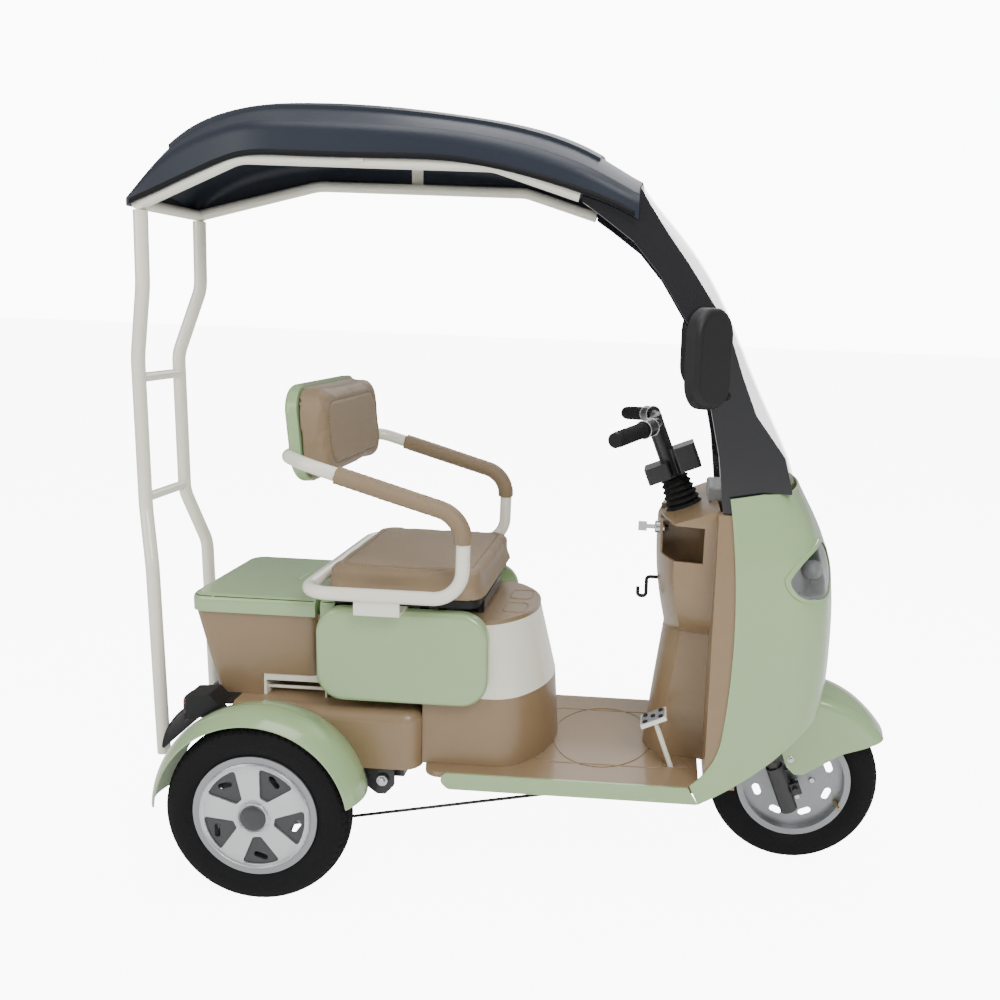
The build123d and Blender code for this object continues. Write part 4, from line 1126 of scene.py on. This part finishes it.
@dataclass
class WheelTrim:
    """What each rear wheel carries outside: a cap disc and two bright rings."""

    side: str
    out: float
    cap_at: float = 0.039
    # The cap's radius and height pairs.
    cap: tuple[Pair, ...] = ((0.029, -0.001), (0.029, 0.0006), (0.027, 0.0022), (0.012, 0.0034))
    # Each ring's radius, place along the axle, thickness and steps.
    rings: tuple[tuple[float, float, float, int], ...] = (
        (0.0335, 0.0396, 0.0014, 64), (0.1195, 0.0346, 0.0017, 120)
    )

    def build(self, shop: Workshop) -> None:
        """Makes the trim.

        Args:
            shop: The workshop.
        """
        body = f"rear_wheel_{self.side}"
        centre = Vector(REAR_HUBS[self.side])
        along = Vector((0.0, self.out, 0.0))
        shape = bmesh.new()
        add_disc(shape, centre + along * self.cap_at, along, self.cap, 40)
        shop.add(f"cap_{self.side}", shape, body, DARK_INSERT)
        shape = bmesh.new()
        for radius, place, thick, steps in self.rings:
            angles = (2.0 * math.pi * k / steps for k in range(steps))
            loop = [centre + along * place + Vector((radius * math.cos(a), 0.0, radius * math.sin(a)))
                    for a in angles]
            add_tube(shape, loop, thick, closed=True, steps=10)
        shop.add(f"cover_rings_{self.side}", shape, body, SILVER)


@dataclass
class FrontHub:
    """The front wheel's nuts and valve."""

    valve_at: Triple = (0.105, -0.012, -0.052)
    valve_way: Triple = (0.25, -1.0, -0.12)
    nuts: int = 5
    nut_ring: float = 0.047
    nut_face: float = 0.0102

    def build(self, shop: Workshop) -> None:
        """Makes the hub's details.

        Args:
            shop: The workshop.
        """
        centre = Vector(FRONT_HUB)
        shape = bmesh.new()
        stem = [(0.004, 0.0), (0.004, 0.014), (0.0026, 0.016), (0.0026, 0.026), (0.0038, 0.027),
                (0.0038, 0.034)]
        add_disc(shape, centre + Vector(self.valve_at), Vector(self.valve_way), stem, 16)
        shop.add("front_valve", shape, "front_wheel", BRASS)
        shape = bmesh.new()
        for k in range(self.nuts):
            a = 2.0 * math.pi * k / self.nuts
            at = centre + Vector((self.nut_ring * math.cos(a), -self.nut_face, self.nut_ring * math.sin(a)))
            add_disc(shape, at, Vector((0.0, -1.0, 0.0)), [(0.008, 0.0), (0.008, 0.005), (0.0066, 0.0064)], 6)
        shop.add("front_nuts", shape, "front_wheel", STEEL, smooth=False)


@dataclass
class Pedal:
    """A bright plate with rubber studs on the brake pedal's pad."""

    pad: Triple = (0.3345, -0.133, 0.396)
    raised: float = 0.0045
    tilt: float = 24.0
    half: Pair = (0.0285, 0.0265)
    corner: float = 0.008
    studs: tuple[Pair, ...] = (
        (-0.019, -0.017), (-0.019, 0.017), (0.0, 0.0), (0.019, -0.017), (0.019, 0.017)
    )

    def build(self, shop: Workshop) -> None:
        """Sets the plate and the studs.

        Args:
            shop: The workshop.
        """
        lean = math.radians(self.tilt)
        normal = Vector((-math.sin(lean), 0.0, math.cos(lean)))
        along = Vector((math.cos(lean), 0.0, math.sin(lean)))
        centre = Vector(self.pad) + normal * self.raised
        shape = bmesh.new()
        corners = [centre + along * x + Vector((0.0, y, 0.0))
                   for x, y in rounded_loop(*self.half, self.corner, 0.004)]
        skin(shape, [[shape.verts.new(c + normal * up) for c in corners] for up in (-0.0004, 0.0014)])
        shop.add("pedal_plate", shape, "vehicle", STEEL, smooth=False)
        shape = bmesh.new()
        stud = [(0.0058, 0.0), (0.0056, 0.0018), (0.0042, 0.003), (0.002, 0.0034)]
        for x, y in self.studs:
            add_disc(shape, centre + along * x + Vector((0.0, y, 0.0)) + normal * 0.0012, normal, stud, 20)
        shop.add("pedal_studs", shape, "vehicle", SOFT_BLACK)


@dataclass
class CanopyTrim:
    """The dull band along the canopy's lower edge."""

    height: float = 0.011
    proud: float = 0.0012
    rear: float = -0.838
    front: float = 0.247
    rows: int = 90
    lowest: float = 1.46
    highest: float = 1.62
    beside: float = 0.5

    def build(self, shop: Workshop) -> None:
        """Follows the canopy's lower edge with the band.

        Args:
            shop: The workshop.
        """
        tree = face_tree(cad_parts["canopy"].data)
        for side, name in ((-1.0, "right"), (1.0, "left")):
            shape = bmesh.new()
            out = Vector((0.0, side * self.proud, 0.0))
            rings = []
            for k in range(self.rows):
                x = self.rear + (self.front - self.rear) * k / (self.rows - 1)
                row = self.row(tree, x, side)
                if len(row) == 3:
                    rings.append([shape.verts.new(p + out) for p in row]
                                 + [shape.verts.new(p - out) for p in reversed(row)])
            skin(shape, rings)
            shop.add(f"canopy_band_{name}", shape, "vehicle", CANOPY_BAND)

    def row(self, tree: BVHTree, x: float, side: float) -> list[Vector]:
        """Finds the canopy's side at three heights above its lower edge.

        Args:
            tree: The canopy's faces.
            x: The place along the trike.
            side: -1 for the rider's right, 1 for the left.

        Returns:
            The points that were found.
        """
        way = Vector((0.0, -side, 0.0))
        z = self.lowest
        while z < self.highest and tree.ray_cast(Vector((x, side * self.beside, z)), way)[0] is None:
            z += 0.0005
        hits = [tree.ray_cast(Vector((x, side * self.beside, z + up)), way)[0]
                for up in (0.001, 0.006, self.height)]
        return [h for h in hits if h is not None]


@dataclass
class GripTrim:
    """Ribs, end plugs and bright rings on the handlebar's grips."""

    end: Triple = (0.22858, 0.272, 1.05489)
    run: Triple = (0.068, 0.132, 0.014)
    ribs: int = 13
    first: float = 0.010
    pitch: float = 0.0078
    radius: float = 0.0162
    ring_radius: float = 0.0192
    rings: tuple[float, ...] = (0.118, 0.153)

    def build(self, shop: Workshop) -> None:
        """Makes the ribs, plugs and rings.

        Args:
            shop: The workshop.
        """
        rubber, bright = bmesh.new(), bmesh.new()
        for side in (-1.0, 1.0):
            end = Vector((self.end[0], side * self.end[1], self.end[2]))
            inner = end + Vector((self.run[0], -side * self.run[1], self.run[2]))
            along = (end - inner).normalized()
            for k in range(self.ribs):
                at = end - along * (self.first + self.pitch * k)
                ring = [at + turn for turn in circle(along, self.radius, 28)]
                add_tube(rubber, ring, 0.0010, closed=True, steps=8)
            add_disc(rubber, end, along, [(0.0155, -0.001), (0.0155, 0.0006), (0.013, 0.0012)], 28)
            for back in self.rings:
                ring = [end - along * back + turn for turn in circle(along, self.ring_radius, 32)]
                add_tube(bright, ring, 0.0014, closed=True, steps=8)
        shop.add("grip_ribs", rubber, "steering", SOFT_BLACK)
        shop.add("switch_rings", bright, "steering", SILVER)


@dataclass
class Beads:
    """Raised beads moulded on the top face of a node."""

    name: str
    node: str
    body: str
    finish: Finish
    loops: list[tuple[float, float, float, float, float]]
    radius: float = 0.0018
    ceiling: float = 0.9

    def build(self, shop: Workshop) -> None:
        """Lays the beads on the face.

        Args:
            shop: The workshop.
        """
        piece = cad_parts[self.node]
        shape = bmesh.new()
        for x, y, half_x, half_y, corner in self.loops:
            met = [drop(piece, Vector((x + dx, y + dy, self.ceiling)), Vector((0.0, 0.0, -1.0)))
                   for dx, dy in rounded_loop(half_x, half_y, corner, 0.004)]
            add_tube(shape, [p for p in met if p is not None], self.radius, closed=True, steps=10)
        shop.add(self.name, shape, self.body, self.finish)


def main() -> None:
    """Builds the studio and the pieces in order."""
    logging.basicConfig(level=logging.INFO, format="%(message)s")
    Studio().build()
    groups = {"mottle": mottle_group(), "dust": dust_group()}
    shop = Workshop(groups)
    for node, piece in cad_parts.items():
        piece.data.materials.clear()
        piece.data.materials.append(shop.material(FINISHES.get(node, BLACK_PLASTIC)))
    LOG.info("nodes dressed")
    seat = SewnCushion("seat_cushion", "seat_cushion_padded", LEATHER)
    back = SewnCushion("backrest_pad", "backrest_padded", LEATHER, axis=0, inset=0.036, corner=0.04,
                       rest=0.022, recline=5.0)
    arms = ArmPads("arm_pads", "arm_pads_padded", LEATHER, voxel=0.004, cap=0.003, shrink=0.001, divide=0)
    seat_piece, back_piece = seat.build(shop), back.build(shop)
    arms.build(shop)
    seat.stitch(shop, seat_piece, "seat_stitches")
    back.stitch(shop, back_piece, "back_stitches")
    Tyre("front_tyre", FRONT_HUB).build(shop)
    for side, hub in REAR_HUBS.items():
        Tyre(f"rear_tyre_{side}", hub).build(shop)
    WheelTrim("right", -1.0).build(shop)
    WheelTrim("left", 1.0).build(shop)
    FrontHub().build(shop)
    Pedal().build(shop)
    CanopyTrim().build(shop)
    GripTrim().build(shop)
    # Each bolt's place, way and half width.
    pivots = [((-0.2755, y * 0.220, 0.245), (0.0, y, 0.0), 0.0085) for y in (-1, 1)]
    stays = [((FRONT_X + x, y * 0.084, z), (0.0, y, 0.0), 0.0055)
             for x, z in ((-0.038, 0.337), (-0.019, 0.290)) for y in (-1, 1)]
    Bolts("pivot_bolts", "vehicle", pivots).build(shop)
    Bolts("fender_bolts", "steering", stays).build(shop)
    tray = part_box("pedestal_tray")[1][0]
    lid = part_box("box_lid")[1][0]
    # Each loop's middle, half sizes and corner.
    cups = [(tray - 0.052, side * 0.052, 0.026, 0.036, 0.014) for side in (-1, 1)]
    Beads("tray_beads", "pedestal_tray", "vehicle", TAN, cups).build(shop)
    cover = [(0.215, 0.0, 0.165, 0.150, 0.05)]
    Beads("floor_beads", "floor_board", "vehicle", TAN, cover, ceiling=0.4).build(shop)
    Beads("lid_bead", "box_lid", "lid", SAGE, [(lid - 0.075, 0.0, 0.030, 0.052, 0.0299)]).build(shop)


if __name__ == "__main__":
    main()
